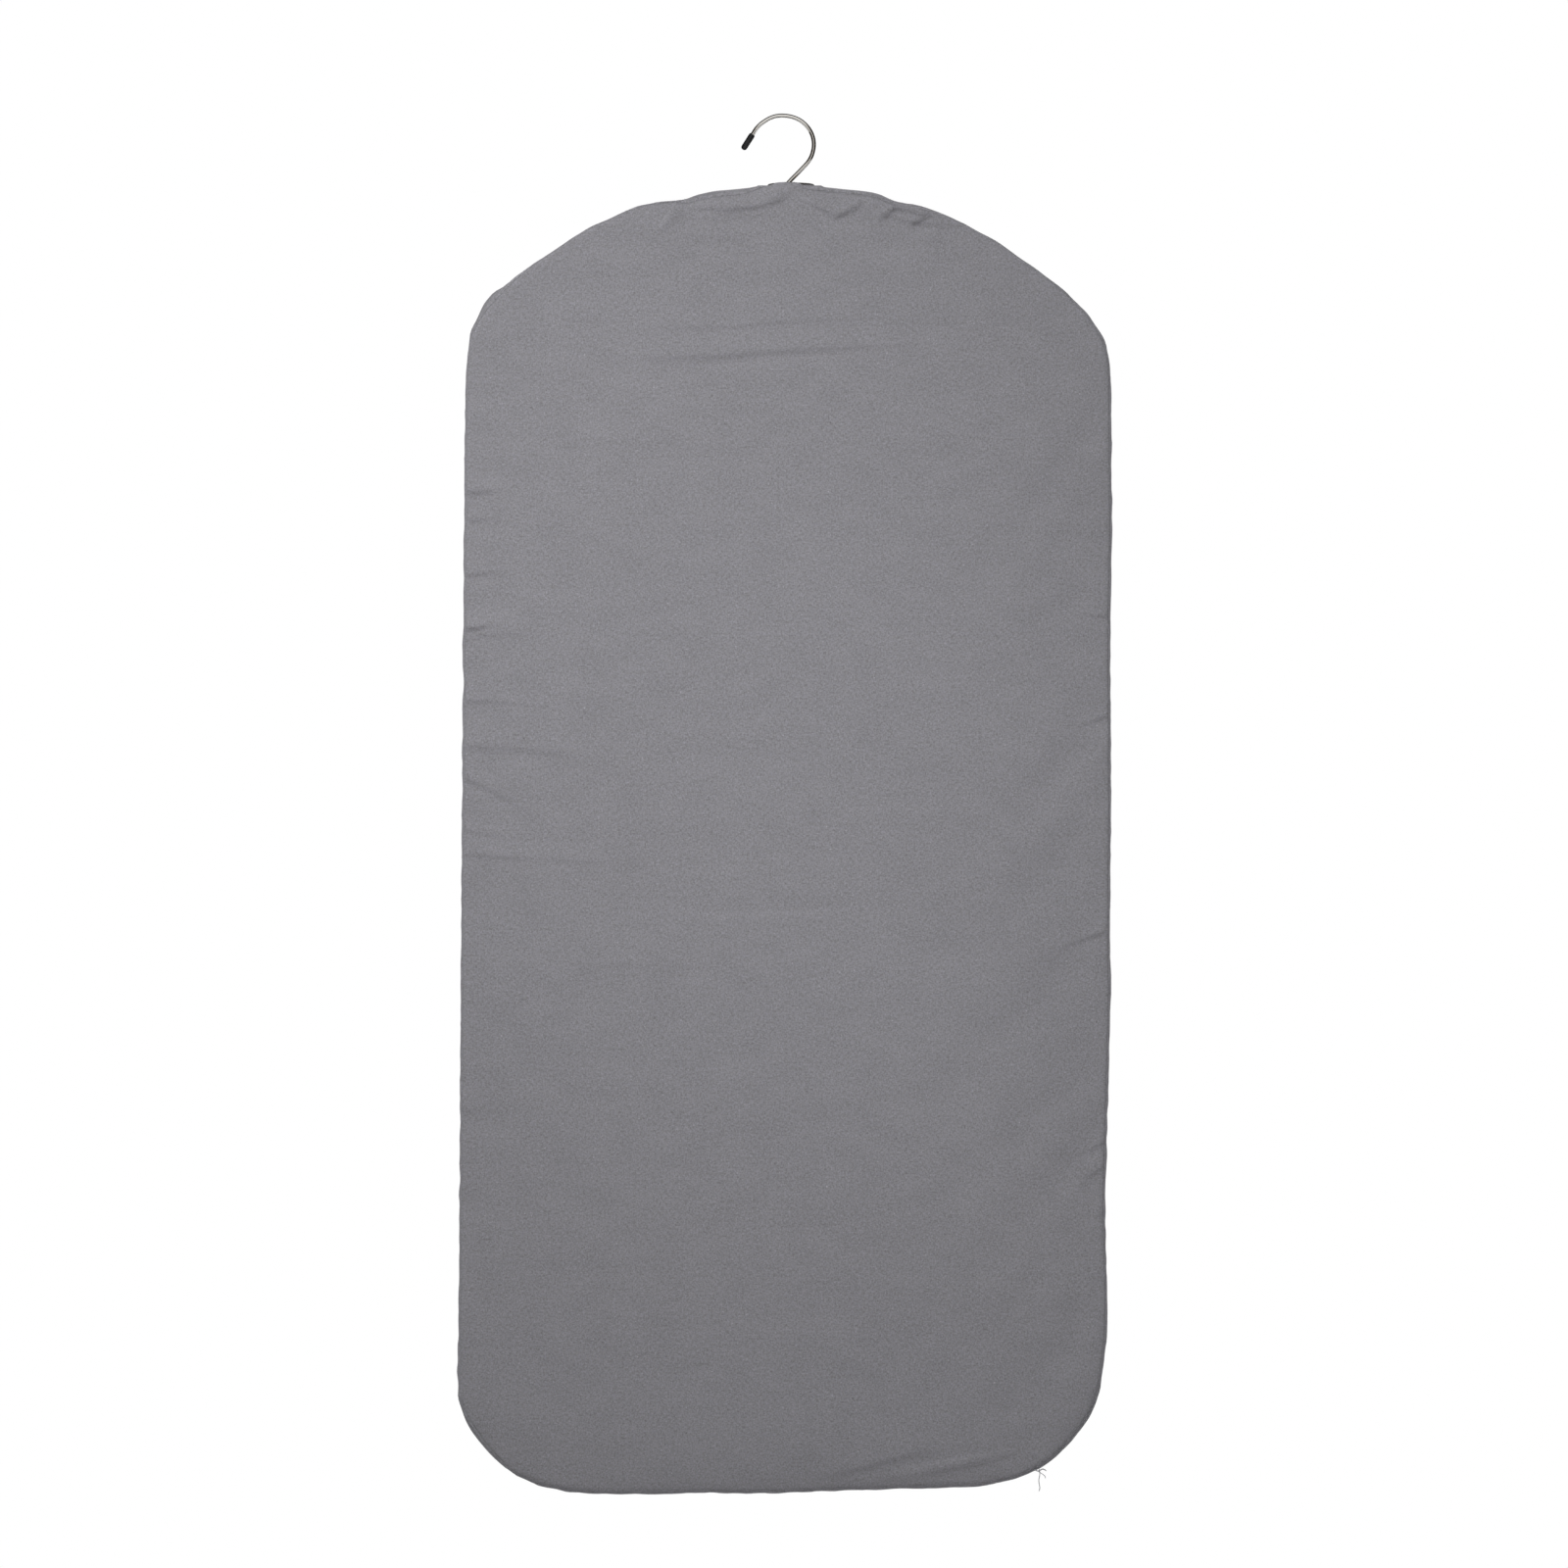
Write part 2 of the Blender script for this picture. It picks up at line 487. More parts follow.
def shell(step, grid_front, grid_back, rings, shares, table=()):
    """The whole sewn shell at rest: front panel, gusset rows, back panel.

    Each step-th point of the seams is used; shares places the gusset rows from front to back.
    """
    front_2d, front_tris = triangulate(FRONT_SEAM[::step], grid_front, rings, (), table)
    back_2d, back_tris = triangulate(BACK_SEAM[::step], grid_back, rings,
                                     (-ZIP_SLOT_X, ZIP_SLOT_X))
    rim = RIM[::step]
    n = len(rim)
    front, front_depth = front_panel_rest(front_2d, n)
    back, back_depth = back_panel_rest(back_2d, n)
    points = np.concatenate([front] + [gusset_row(step, t) for t in shares] + [back])
    front_count = len(front)
    back_start = front_count + len(shares) * n
    starts = [0] + [front_count + j * n for j in range(len(shares))] + [back_start]
    loops = [start + np.arange(n) for start in starts]
    faces, piece = [], []
    for tris, flat, sign, shift in ((front_tris, front_2d, 1, 0),
                                    (back_tris, back_2d, -1, back_start)):
        for tri in tris:
            a, b, c = (flat[i] for i in tri[:3])
            turn = (b[0] - a[0]) * (c[1] - a[1]) - (b[1] - a[1]) * (c[0] - a[0])
            tri = tuple(tri) if turn * sign > 0 else tuple(reversed(tri))
            faces.append(tuple(i + shift for i in tri))
            x, z = (a[0] + b[0] + c[0]) / 3, (a[1] + b[1] + c[1]) / 3
            if not shift:
                piece.append(FRONT)
            elif abs(x) < ZIP_SLOT_X and -1177 < z < -73:  # the tabs lie over its closed ends
                piece.append(ZIP_SLOT)
            else:
                piece.append(BACK_LEFT if x < 0 else BACK_RIGHT)
    for this, following in zip(loops, loops[1:]):
        for i in range(n):
            q = (i + 1) % n
            faces.append((this[i], this[q], following[q], following[i]))
            x, z = (rim[i] + rim[q]) / 2
            piece.append(PATCH if on_patch(x, z) else GUSSET_LEFT if x < 0 else GUSSET_RIGHT)
    depth = np.zeros(len(points))
    depth[:front_count] = front_depth
    depth[back_start:] = back_depth
    return SimpleNamespace(
        points=points, faces=faces, piece=piece, front_count=front_count, back_start=back_start,
        loops=loops, depth=depth, shares=np.array(shares), step=step, n=n,
        front_tris=np.array([tuple(t)[:3] for t in front_tris]),
        back_tris=np.array([tuple(t)[:3] for t in back_tris]))


GUSSET_SHARES = (0.035, 0.09, 0.18, 0.3, 0.42, 0.5, 0.58, 0.7, 0.82, 0.91, 0.965)
BAG = shell(step=1, grid_front=7.0, grid_back=7.5, rings=(1.4, 3.4, 6.2, 10.0, 15.0),
            shares=GUSSET_SHARES, table=CREASES)
REST, LOOPS = BAG.points, BAG.loops


# ---------------------------------------------------------------- mesh helpers
def mesh_object(name, points, faces, smooth=True, outward=False):
    """A new mesh object; outward turns its normals out."""
    mesh = bpy.data.meshes.new(name)
    mesh.from_pydata([tuple(p) for p in np.asarray(points) * MM], [],
                     [tuple(int(i) for i in f) for f in faces])
    mesh.update()
    mesh.validate()
    if smooth:
        mesh.polygons.foreach_set("use_smooth", [True] * len(mesh.polygons))
    obj = bpy.data.objects.new(name, mesh)
    bpy.context.scene.collection.objects.link(obj)
    if outward:
        bm = bmesh.new()
        bm.from_mesh(mesh)
        bmesh.ops.recalc_face_normals(bm, faces=bm.faces)
        bm.to_mesh(mesh)
        bm.free()
    return obj


def loft_faces(rings, sides, start=0, wrap=False):
    """Faces between rings of vertices; wrap joins the last to the first, else both are capped."""
    faces = []
    for i in range(rings if wrap else rings - 1):
        here, there = start + i * sides, start + (i + 1) % rings * sides
        for k in range(sides):
            q = (k + 1) % sides
            faces.append((here + k, here + q, there + q, there + k))
    if not wrap:
        faces.append(tuple(start + k for k in reversed(range(sides))))
        faces.append(tuple(start + (rings - 1) * sides + k for k in range(sides)))
    return faces


def grid_faces(rows, columns):
    for j in range(rows - 1):
        for i in range(columns - 1):
            a = j * columns + i
            yield a, a + 1, a + columns + 1, a + columns


def tube(name, centre, radius, sides):
    """A round tube along a line of points; the radius may be given per point."""
    centre = np.asarray(centre, float)
    radii = np.broadcast_to(np.asarray(radius, float), (len(centre),))
    run = unit_rows(np.gradient(centre, axis=0))
    u = np.array([0, 1.0, 0]) if abs(run[0, 1]) < 0.9 else np.array([1.0, 0, 0])
    u = u - run[0] * (u @ run[0])
    u /= np.linalg.norm(u)
    angle = 2 * math.pi * np.arange(sides) / sides
    verts = []
    for at, direction, r in zip(centre, run, radii):
        u = u - direction * (u @ direction)
        u /= np.linalg.norm(u)
        w = np.cross(direction, u)
        verts += list(at + r * (np.cos(angle)[:, None] * u + np.sin(angle)[:, None] * w))
    return mesh_object(name, verts, loft_faces(len(centre), sides))


def plate(name, outline, y0, y1):
    """A flat plate: its outline in x and z, from y0 to y1."""
    n = len(outline)
    verts = [(x, y, z) for y in (y0, y1) for x, z in outline]
    faces = [tuple(range(n)), tuple(reversed(range(n, 2 * n)))]
    faces += [(i, i + n, (i + 1) % n + n, (i + 1) % n) for i in range(n)]
    return mesh_object(name, verts, faces, outward=True)


def drilled(obj, cutters):
    """Cuts a mesh with others and applies the result."""
    for cutter in cutters:
        cut = obj.modifiers.new("Cut", "BOOLEAN")
        cut.operation, cut.object, cut.solver = "DIFFERENCE", cutter, "EXACT"
    bpy.context.view_layer.update()
    evaluated = obj.evaluated_get(bpy.context.evaluated_depsgraph_get())
    result = bpy.data.meshes.new_from_object(evaluated)
    obj.modifiers.clear()
    old, obj.data = obj.data, result
    bpy.data.meshes.remove(old)
    for cutter in cutters:
        bpy.data.objects.remove(cutter)
    return obj


def solidify(obj, thickness, offset=-1.0):
    modifier = obj.modifiers.new("Thickness", "SOLIDIFY")
    modifier.thickness = thickness * MM
    modifier.offset = offset
    modifier.use_even_offset = False
    modifier.use_quality_normals = True
    return obj


def bevel(obj, width, segments=3, angle=25):
    modifier = obj.modifiers.new("Edge", "BEVEL")
    modifier.width = width * MM
    modifier.segments = segments
    modifier.limit_method = "ANGLE"
    modifier.angle_limit = math.radians(angle)
    modifier.harden_normals = False
    obj.data.polygons.foreach_set("use_smooth", [True] * len(obj.data.polygons))
    return obj


def weave_attribute(obj, metres):
    """Coordinates that the cloth materials read: along both threads, and a layer depth."""
    attribute = obj.data.attributes.new("weave", "FLOAT_VECTOR", "POINT")
    attribute.data.foreach_set("vector", np.asarray(metres, np.float32).ravel())


def cad_box(node):
    """Lowest and highest corner of a CAD piece, in millimetres."""
    return tuple(np.array(corner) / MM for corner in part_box(node))


# ---------------------------------------------------------------- cloth simulation
def neighbours(faces):
    """Edges of a mesh, both ways, for smoothing."""
    edges = {(min(a, b), max(a, b)) for f in faces for a, b in zip(f, f[1:] + f[:1])}
    edges = np.array(sorted(edges))
    return np.r_[edges[:, 0], edges[:, 1]], np.r_[edges[:, 1], edges[:, 0]]


def relax(values, pairs, rounds):
    a, b = pairs
    count = np.bincount(a, minlength=len(values))[:, None].clip(1)
    v = values.copy()
    for _ in range(rounds):
        total = np.stack([np.bincount(a, weights=v[b, k], minlength=len(v))
                          for k in range(v.shape[1])], 1)
        v = 0.5 * v + 0.5 * total / count
    return v


def simulate(coarse):
    """Movement of the sewn shell as cloth.

    The panels are cut longer than the seams that hold them, so the slack has to go somewhere.
    """
    points = coarse.points
    n = len(points)
    x, y, z = points.T
    start = points.copy()
    push = waves(points[:, [0, 2]], seed=51, count=24, across=110, down=34, height=0.35)
    start[:, 1] += np.where(y < 0, -1, 1) * np.minimum(1, coarse.depth / 20) * push
    obj = mesh_object("sim_shell", start, coarse.faces)
    # held: both seams, the strips beside the zip, and the top round the hook
    held = set(int(i) for loop in (coarse.loops[0], coarse.loops[-1]) for i in loop)
    by_zip = (np.arange(n) >= coarse.back_start) & (np.abs(x) < 19)
    top = (z > -80) & (np.abs(y) < SEAM_Y) & (np.abs(x - 3) < 92)
    held |= set(int(i) for i in np.where(by_zip | top)[0])
    obj.vertex_groups.new(name="pin").add(sorted(held), 1.0, "REPLACE")
    obj.shape_key_add(name="Basis")
    cut = obj.shape_key_add(name="Cut")
    flat = start.copy()
    flat[:, 2] = -620 + (start[:, 2] + 620) * 1.016
    flat[:, 0] = start[:, 0] * 1.003
    cut.data.foreach_set("co", (flat * MM).astype(np.float32).ravel())
    cut.value = 0
    cloth = obj.modifiers.new("Cloth", "CLOTH")
    s = cloth.settings
    s.quality = 5
    s.mass = 0.3
    s.air_damping = 1.5
    s.tension_stiffness = s.compression_stiffness = 18
    s.shear_stiffness = 6
    s.bending_stiffness = 0.35
    s.tension_damping = s.compression_damping = 10
    s.shear_damping = 6
    s.bending_damping = 0.5
    s.vertex_group_mass = "pin"
    s.pin_stiffness = 20
    s.rest_shape_key = cut
    s.use_pressure = True
    s.uniform_pressure_force = 0.7
    s.effector_weights.gravity = 0.25
    cloth.collision_settings.use_collision = False
    cloth.collision_settings.use_self_collision = False
    cloth.point_cache.frame_start, cloth.point_cache.frame_end = 1, 26
    scene = bpy.context.scene
    scene.frame_start, scene.frame_end = 1, 26
    for f in range(1, 23):
        scene.frame_set(f)
    evaluated = obj.evaluated_get(bpy.context.evaluated_depsgraph_get())
    places = np.zeros(n * 3)
    evaluated.data.vertices.foreach_get("co", places)
    scene.frame_set(1)
    mesh = obj.data
    bpy.data.objects.remove(obj)
    bpy.data.meshes.remove(mesh)
    move = places.reshape(-1, 3) / MM - points
    move[~np.isfinite(move).all(1)] = 0
    return move


def carry_panel(tris, corners, move, wanted):
    """Movement of a coarse panel, read off at the wanted x, z."""
    tree = BVHTree.FromPolygons([(p[0], 0.0, p[1]) for p in corners],
                                [tuple(int(i) for i in t) for t in tris])
    out = np.zeros((len(wanted), 3))
    for i, p in enumerate(wanted):
        tri = tris[tree.find_nearest((p[0], 0.0, p[1]))[2]]
        a, b, c = corners[tri]
        ab, ac, ap = b - a, c - a, p - a
        area = ab[0] * ac[1] - ac[0] * ab[1]
        v = min(max((ap[0] * ac[1] - ac[0] * ap[1]) / area, 0), 1)
        w = min(max((ab[0] * ap[1] - ap[0] * ab[1]) / area, 0), 1)
        out[i] = move[tri[0]] * (1 - v - w) + move[tri[1]] * v + move[tri[2]] * w
    return out


def carry(coarse, move, fine):
    """The movement of a coarse shell, read off at the points of a fine one."""
    out = np.zeros_like(fine.points)
    coarse_xz, fine_xz = coarse.points[:, [0, 2]], fine.points[:, [0, 2]]
    for tris, from_part, to_part in (
            (coarse.front_tris, slice(coarse.front_count), slice(fine.front_count)),
            (coarse.back_tris, slice(coarse.back_start, None), slice(fine.back_start, None))):
        out[to_part] = carry_panel(tris, coarse_xz[from_part], move[from_part], fine_xz[to_part])
    shares = np.r_[0, coarse.shares, 1]
    rows = np.array([move[loop] for loop in coarse.loops])
    at = np.arange(fine.n) / coarse.step * fine.step
    first = np.floor(at).astype(int)
    w = (at - first)[:, None]
    rows = rows[:, first % coarse.n] * (1 - w) + rows[:, (first + 1) % coarse.n] * w
    for t, loop in zip(fine.shares, fine.loops[1:-1]):
        j = min(np.searchsorted(shares, t) - 1, len(shares) - 2)
        q = (t - shares[j]) / (shares[j + 1] - shares[j])
        out[loop] = rows[j] * (1 - q) + rows[j + 1] * q
    return out


def capped(move, limit, share):
    size = np.linalg.norm(move, axis=1)[:, None]
    return move * (np.minimum(1, limit / np.maximum(size, 1e-6)) * share)


PAIRS = neighbours(BAG.faces)
coarse_bag = shell(step=2, grid_front=9.0, grid_back=10.0, rings=(4.0, 10.0),
                   shares=(0.12, 0.3, 0.5, 0.7, 0.88))
moved = relax(carry(coarse_bag, simulate(coarse_bag), BAG), PAIRS, 4)
billow = relax(moved, PAIRS, 90)
rumple = capped(moved - billow, RUMPLE_LIMIT, RUMPLE_SHARE)
billow = capped(billow, BILLOW_LIMIT, BILLOW_SHARE)
for seam in (LOOPS[0], LOOPS[-1]):
    billow[seam] = 0
    rumple[seam] = 0
SHAPE = REST + billow + rumple


# ---------------------------------------------------------------- creases and ripples
def crease_front():
    part = slice(BAG.front_count)
    xz, depth = REST[part][:, [0, 2]], BAG.depth[part]
    edge = smoothstep(0.0, 4.0, depth)
    height = crease_height(xz, CREASES) * (0.25 + 0.75 * edge)
    height += (waves(xz, seed=3, count=14, across=260, down=95, height=0.30) * edge
               + waves(xz, seed=4, count=16, across=120, down=42, height=0.10) * edge)
    near = np.exp(-depth / 9) * smoothstep(0, 2.5, depth)
    height += waves(xz, seed=6, count=18, across=60, down=17, height=0.20) * near  # puckers
    SHAPE[part, 1] -= height


def back_folds():
    """Soft folds of the back, as a table like CREASES."""
    random = np.random.default_rng(41)
    folds = []
    for s in (-1, 1):
        for z in np.arange(-205, -1120, -74.0):  # pulls from the side seams
            z += random.uniform(-22, 22)
            run, fall = random.uniform(45, 135), random.uniform(-0.28, 0.34)
            line = [(s * 281, z), (s * (281 - 0.5 * run), z - 0.4 * fall * run),
                    (s * (281 - run), z - fall * run)]
            folds.append((random.uniform(10, 16), random.uniform(0.7, 1.7), line))
        for z in np.arange(-150, -1130, -58.0):  # puckers beside the zip
            z += random.uniform(-18, 18)
            run, rise = random.uniform(28, 75), random.uniform(-0.5, 0.7)
            line = [(s * 19, z), (s * (19 + 0.5 * run), z + 0.5 * rise * run),
                    (s * (19 + run), z + 0.8 * rise * run)]
            folds.append((random.uniform(9, 13),
                          random.choice((-1, 1)) * random.uniform(0.4, 0.9), line))
        for x0, z0, x1, z1 in ((35, -175, 175, -265), (60, -400, 225, -352),
                               (48, -640, 215, -705), (70, -905, 240, -842),
                               (40, -1040, 190, -1096)):  # long slack folds
            line = [(s * x0, z0 + s * 14), (s * 0.5 * (x0 + x1), 0.5 * (z0 + z1) - 9),
                    (s * x1, z1 + s * 9)]
            folds.append((18.0, random.choice((-1, 1)) * random.uniform(1.0, 1.6), line))
    return [(width, depth, line if line[0][0] < line[-1][0] else line[::-1])
            for width, depth, line in folds]


def folded_edge(x):
    """Extra height of the folded edges along the zip, which are two layers thick."""
    return 0.55 * band(np.abs(x), -10, 13.4, 0.4)


def crease_back():
    part = slice(BAG.back_start, None)
    xz, depth = REST[part][:, [0, 2]], BAG.depth[part]
    aside = np.abs(xz[:, 0])
    away = smoothstep(17, 40, aside) * smoothstep(0, 6, depth)
    SHAPE[part, 1] += (waves(xz, seed=13, count=14, across=240, down=80, height=0.5)
                       + waves(xz, seed=14, count=16, across=120, down=40, height=0.2)) * away
    SHAPE[part, 1] += (1.25 * crease_height(xz, back_folds(), False) * smoothstep(16, 30, aside)
                       * (0.3 + 0.7 * smoothstep(0, 8, depth)) * (1 - hook_zone(xz)))
    by_zip = smoothstep(15.5, 22, aside) * np.exp(-((aside - 15) / 26) ** 2)
    by_zip = by_zip * smoothstep(0, 10, depth)  # the zip draws the cloth up
    SHAPE[part, 1] += waves(xz, seed=15, count=20, across=90, down=24, height=0.42) * by_zip
    near = np.exp(-depth / 9) * smoothstep(0, 2.5, depth) * smoothstep(17, 30, aside)
    SHAPE[part, 1] += waves(xz, seed=16, count=18, across=60, down=17, height=0.25) * near
    SHAPE[part, 1] += folded_edge(xz[:, 0])


def ripple_gusset():
    """Cross ripples, and tucks that are strongest between the ridge and each seam."""
    on_top = topside * band(RIM[:, 0], -95, 100, 8)
    for t, loop in zip(GUSSET_SHARES, LOOPS[1:-1]):
        at = np.stack([REST[loop, 1], RIM_ARC], 1)
        ripple = (waves(at, seed=17, count=18, across=120, down=26, height=0.30)
                  + waves(at, seed=18, count=12, across=160, down=60, height=0.35))
        ripple = ripple * math.sin(math.pi * t) ** 0.5 * (~eyelet_zone) * (1 - 0.8 * on_top)
        tucks = np.abs(waves(at, seed=19, count=22, across=110, down=24, height=0.9))
        ripple = ripple - tucks * math.sin(2 * math.pi * t) ** 2 * (~eyelet_zone) * (1 - on_top)
        SHAPE[loop, 0] += OUTWARD[:, 0] * ripple
        SHAPE[loop, 2] += OUTWARD[:, 1] * ripple


def sink_seams():
    """The seams sit in a shallow groove."""
    for loop, sign in ((LOOPS[0], 1), (LOOPS[-1], -1)):
        SHAPE[loop, 0] -= OUTWARD[:, 0] * 0.5 * (1 - lip)
        SHAPE[loop, 2] -= OUTWARD[:, 1] * 0.5 * (1 - lip)
        SHAPE[loop, 1] += 0.6 * sign


crease_front()
crease_back()
ripple_gusset()
sink_seams()


# ---------------------------------------------------------------- shader nodes
class Graph:
    """A node tree that is built from nothing, with a short call for each kind of node."""

    def __init__(self, tree):
        self.tree = tree
        tree.nodes.clear()

    def feed(self, socket, value):
        """Links the value if it is a socket, and sets it otherwise."""
        if isinstance(value, bpy.types.NodeSocket):
            self.tree.links.new(value, socket)
        else:
            socket.default_value = value

    def node(self, kind, **inputs):
        node = self.tree.nodes.new(kind)
        for name, value in inputs.items():
            self.feed(node.inputs[name], value)
        return node

    def math(self, operation, *values, clamp=False):
        node = self.node("ShaderNodeMath")
        node.operation = operation
        node.use_clamp = clamp
        for socket, value in zip(node.inputs, values):
            self.feed(socket, value)
        return node.outputs[0]

    def signed(self, fac, amount):
        """fac 0..1 to -amount..amount."""
        return self.math("MULTIPLY", self.math("SUBTRACT", fac, 0.5), 2 * amount)

    def scaled(self, fac, scale, offset):
        return self.math("ADD", self.math("MULTIPLY", fac, scale), offset)

    def mapped(self, vector, scale=(1, 1, 1), rotation=(0, 0, 0)):
        node = self.node("ShaderNodeMapping", Scale=scale, Rotation=rotation, Vector=vector)
        return node.outputs[0]

    def noise(self, vector, scale, detail=2.0, rough=0.5):
        node = self.node("ShaderNodeTexNoise", Scale=scale, Detail=detail, Roughness=rough,
                         Vector=vector)
        return node.outputs["Fac"]

    def ramp(self, fac, stops):
        node = self.node("ShaderNodeValToRGB")
        elements = node.color_ramp.elements
        while len(elements) > 1:
            elements.remove(elements[-1])
        elements[0].position, elements[0].color = stops[0][0], (*stops[0][1], 1)
        for position, colour in stops[1:]:
            elements.new(position).color = (*colour, 1)
        self.feed(node.inputs["Fac"], fac)
        return node.outputs["Color"]

    def mix_colour(self, factor, a, b):
        node = self.node("ShaderNodeMix")
        node.data_type = "RGBA"
        for name, value in (("Factor", factor), ("A", a), ("B", b)):
            self.feed(node.inputs[name], value)
        return node.outputs["Result"]

    def mix_shader(self, factor, a, b):
        node = self.node("ShaderNodeMixShader", Fac=factor)
        self.feed(node.inputs[1], a)
        self.feed(node.inputs[2], b)
        return node.outputs[0]

    def object_place(self):
        return self.node("ShaderNodeTexCoord").outputs["Object"]

    def separate(self, vector):
        node = self.node("ShaderNodeSeparateXYZ")
        self.feed(node.inputs[0], vector)
        return node.outputs


class Surface(Graph):
    """A material with one principled shader."""

    def __init__(self, name):
        self.material = bpy.data.materials.new(name)
        self.material.use_nodes = True
        super().__init__(self.material.node_tree)
        self.output = self.node("ShaderNodeOutputMaterial")
        self.bsdf = self.node("ShaderNodeBsdfPrincipled")
        self.feed(self.output.inputs["Surface"], self.bsdf.outputs["BSDF"])

    def set(self, values):
        for name, value in values.items():
            self.feed(self.bsdf.inputs[name], value)

    def bump(self, height, strength, distance):
        node = self.node("ShaderNodeBump", Strength=strength, Distance=distance, Height=height)
        self.set({"Normal": node.outputs["Normal"]})


def shades(colour, *factors):
    return [tuple(f * c for c in colour) for f in factors]


# ---------------------------------------------------------------- materials
THREAD_PITCH = 0.00052  # metres, from one thread of the weave to the next


def cloth_material(name, colour, strength=1.0, flecks=True):
    """Plain weave with a melange of lighter and darker fibres; strength scales the melange."""
    g = Surface(name)
    attribute = g.node("ShaderNodeAttribute")
    attribute.attribute_name = "weave"
    at = attribute.outputs["Vector"]
    warp = g.noise(g.mapped(at, (1900, 330, 700)), scale=1.0, rough=0.6)
    weft = g.noise(g.mapped(at, (330, 1900, 700)), scale=1.0, rough=0.6)
    mottle = g.noise(g.mapped(at), scale=300, detail=3.0, rough=0.6)
    patchy = g.noise(g.mapped(at, (1, 1.6, 1)), scale=34, detail=3.0, rough=0.55)
    broad = g.noise(g.mapped(at), scale=5)
    grain = g.noise(g.mapped(at, (1, 0.85, 1)), scale=720, rough=0.6)
    tone = g.math("ADD", g.signed(warp, amount=0.30 * strength),
                  g.signed(weft, amount=0.36 * strength))
    for layer, amount in ((grain, 0.50 * strength), (mottle, 0.20 * strength),
                          (patchy, 0.09 * strength), (broad, 0.035)):
        tone = g.math("ADD", tone, g.signed(layer, amount))
    if flecks:
        def fleck(fac, threshold, gain):
            return g.math("MULTIPLY", g.math("SUBTRACT", fac, threshold, clamp=True), gain)

        light = fleck(g.noise(g.mapped(at, (1, 0.8, 1)), scale=640, detail=1.0),
                      threshold=0.665, gain=3.6)
        dark = fleck(g.noise(g.mapped(at, rotation=(0, 0, 0.7)), scale=520, detail=1.0),
                     threshold=0.68, gain=-2.4)
        tone = g.math("ADD", tone, g.math("ADD", light, dark))
    tone = g.math("ADD", tone, 1.0)
    warm, cool = (1.03, 1.02, 0.96), (0.97, 0.98, 1.04)
    hue = g.mix_colour(mottle, (*(c * k for c, k in zip(colour, warm)), 1),
                       (*(c * k for c, k in zip(colour, cool)), 1))
    toned = g.node("ShaderNodeVectorMath")
    toned.operation = "SCALE"
    g.feed(toned.inputs[0], hue)
    g.feed(toned.inputs["Scale"], tone)
    g.set({"Base Color": toned.outputs[0]})
    # the threads go over and under in turn
    place = g.separate(at)
    frequency = math.pi / THREAD_PITCH
    over = g.math("MULTIPLY", *[g.math("SINE", g.math("MULTIPLY", place[k], frequency))
                                for k in (0, 1)])
    height = g.math("ADD", g.math("MULTIPLY", over, 0.30),
                    g.math("ADD", g.math("MULTIPLY", warp, 0.8), g.math("MULTIPLY", weft, 0.9)))
    height = g.math("ADD", height, g.math("MULTIPLY", mottle, 0.9))
    g.bump(height, strength=0.5, distance=0.00016)
    g.set({"Roughness": 0.92})
    g.set({"Roughness": g.math("ADD", g.signed(warp, amount=0.06), 0.9),
           "Specular IOR Level": 0.18, "Sheen Weight": 0.12, "Sheen Roughness": 0.45,
           "Sheen Tint": (0.9, 0.9, 0.95, 1)})
    return g.material


def metal_material(name, colour, rough, brushed=0.0, spots=0.5):
    g = Surface(name)
    at = g.object_place()
    blotches = g.noise(g.mapped(at), scale=160, detail=3.0, rough=0.6)
    fine = g.noise(g.mapped(at, (1, 1, 0.12)), scale=2600, rough=0.6)
    wear = g.noise(g.mapped(at), scale=55, detail=4.0, rough=0.6)
    dark, light = shades(colour, 0.86, 1.06)
    light = tuple(min(1, c) for c in light)
    g.set({"Base Color": g.ramp(wear, [(0.0, dark), (0.5, colour), (1.0, light)])})
    roughness = g.scaled(blotches, scale=0.06 * spots + brushed * 0.2, offset=rough)
    roughness = g.math("ADD", roughness, g.math("MULTIPLY", fine, 0.04 + brushed))
    g.set({"Roughness": roughness, "Metallic": 1.0})
    g.bump(fine, strength=0.08 + brushed, distance=0.00004)
    return g.material


def vinyl_material():
    g = Surface("vinyl_black")
    at = g.object_place()
    grain = g.noise(at, scale=900, detail=3.0, rough=0.6)
    broad = g.noise(at, scale=120)
    g.set({"Base Color": g.ramp(broad, [(0.2, (0.006, 0.006, 0.007)),
                                        (0.8, (0.016, 0.016, 0.017))]),
           "Roughness": g.scaled(grain, scale=0.15, offset=0.34)})
    g.bump(grain, strength=0.25, distance=0.00008)
    g.set({"Coat Weight": 0.1})
    return g.material


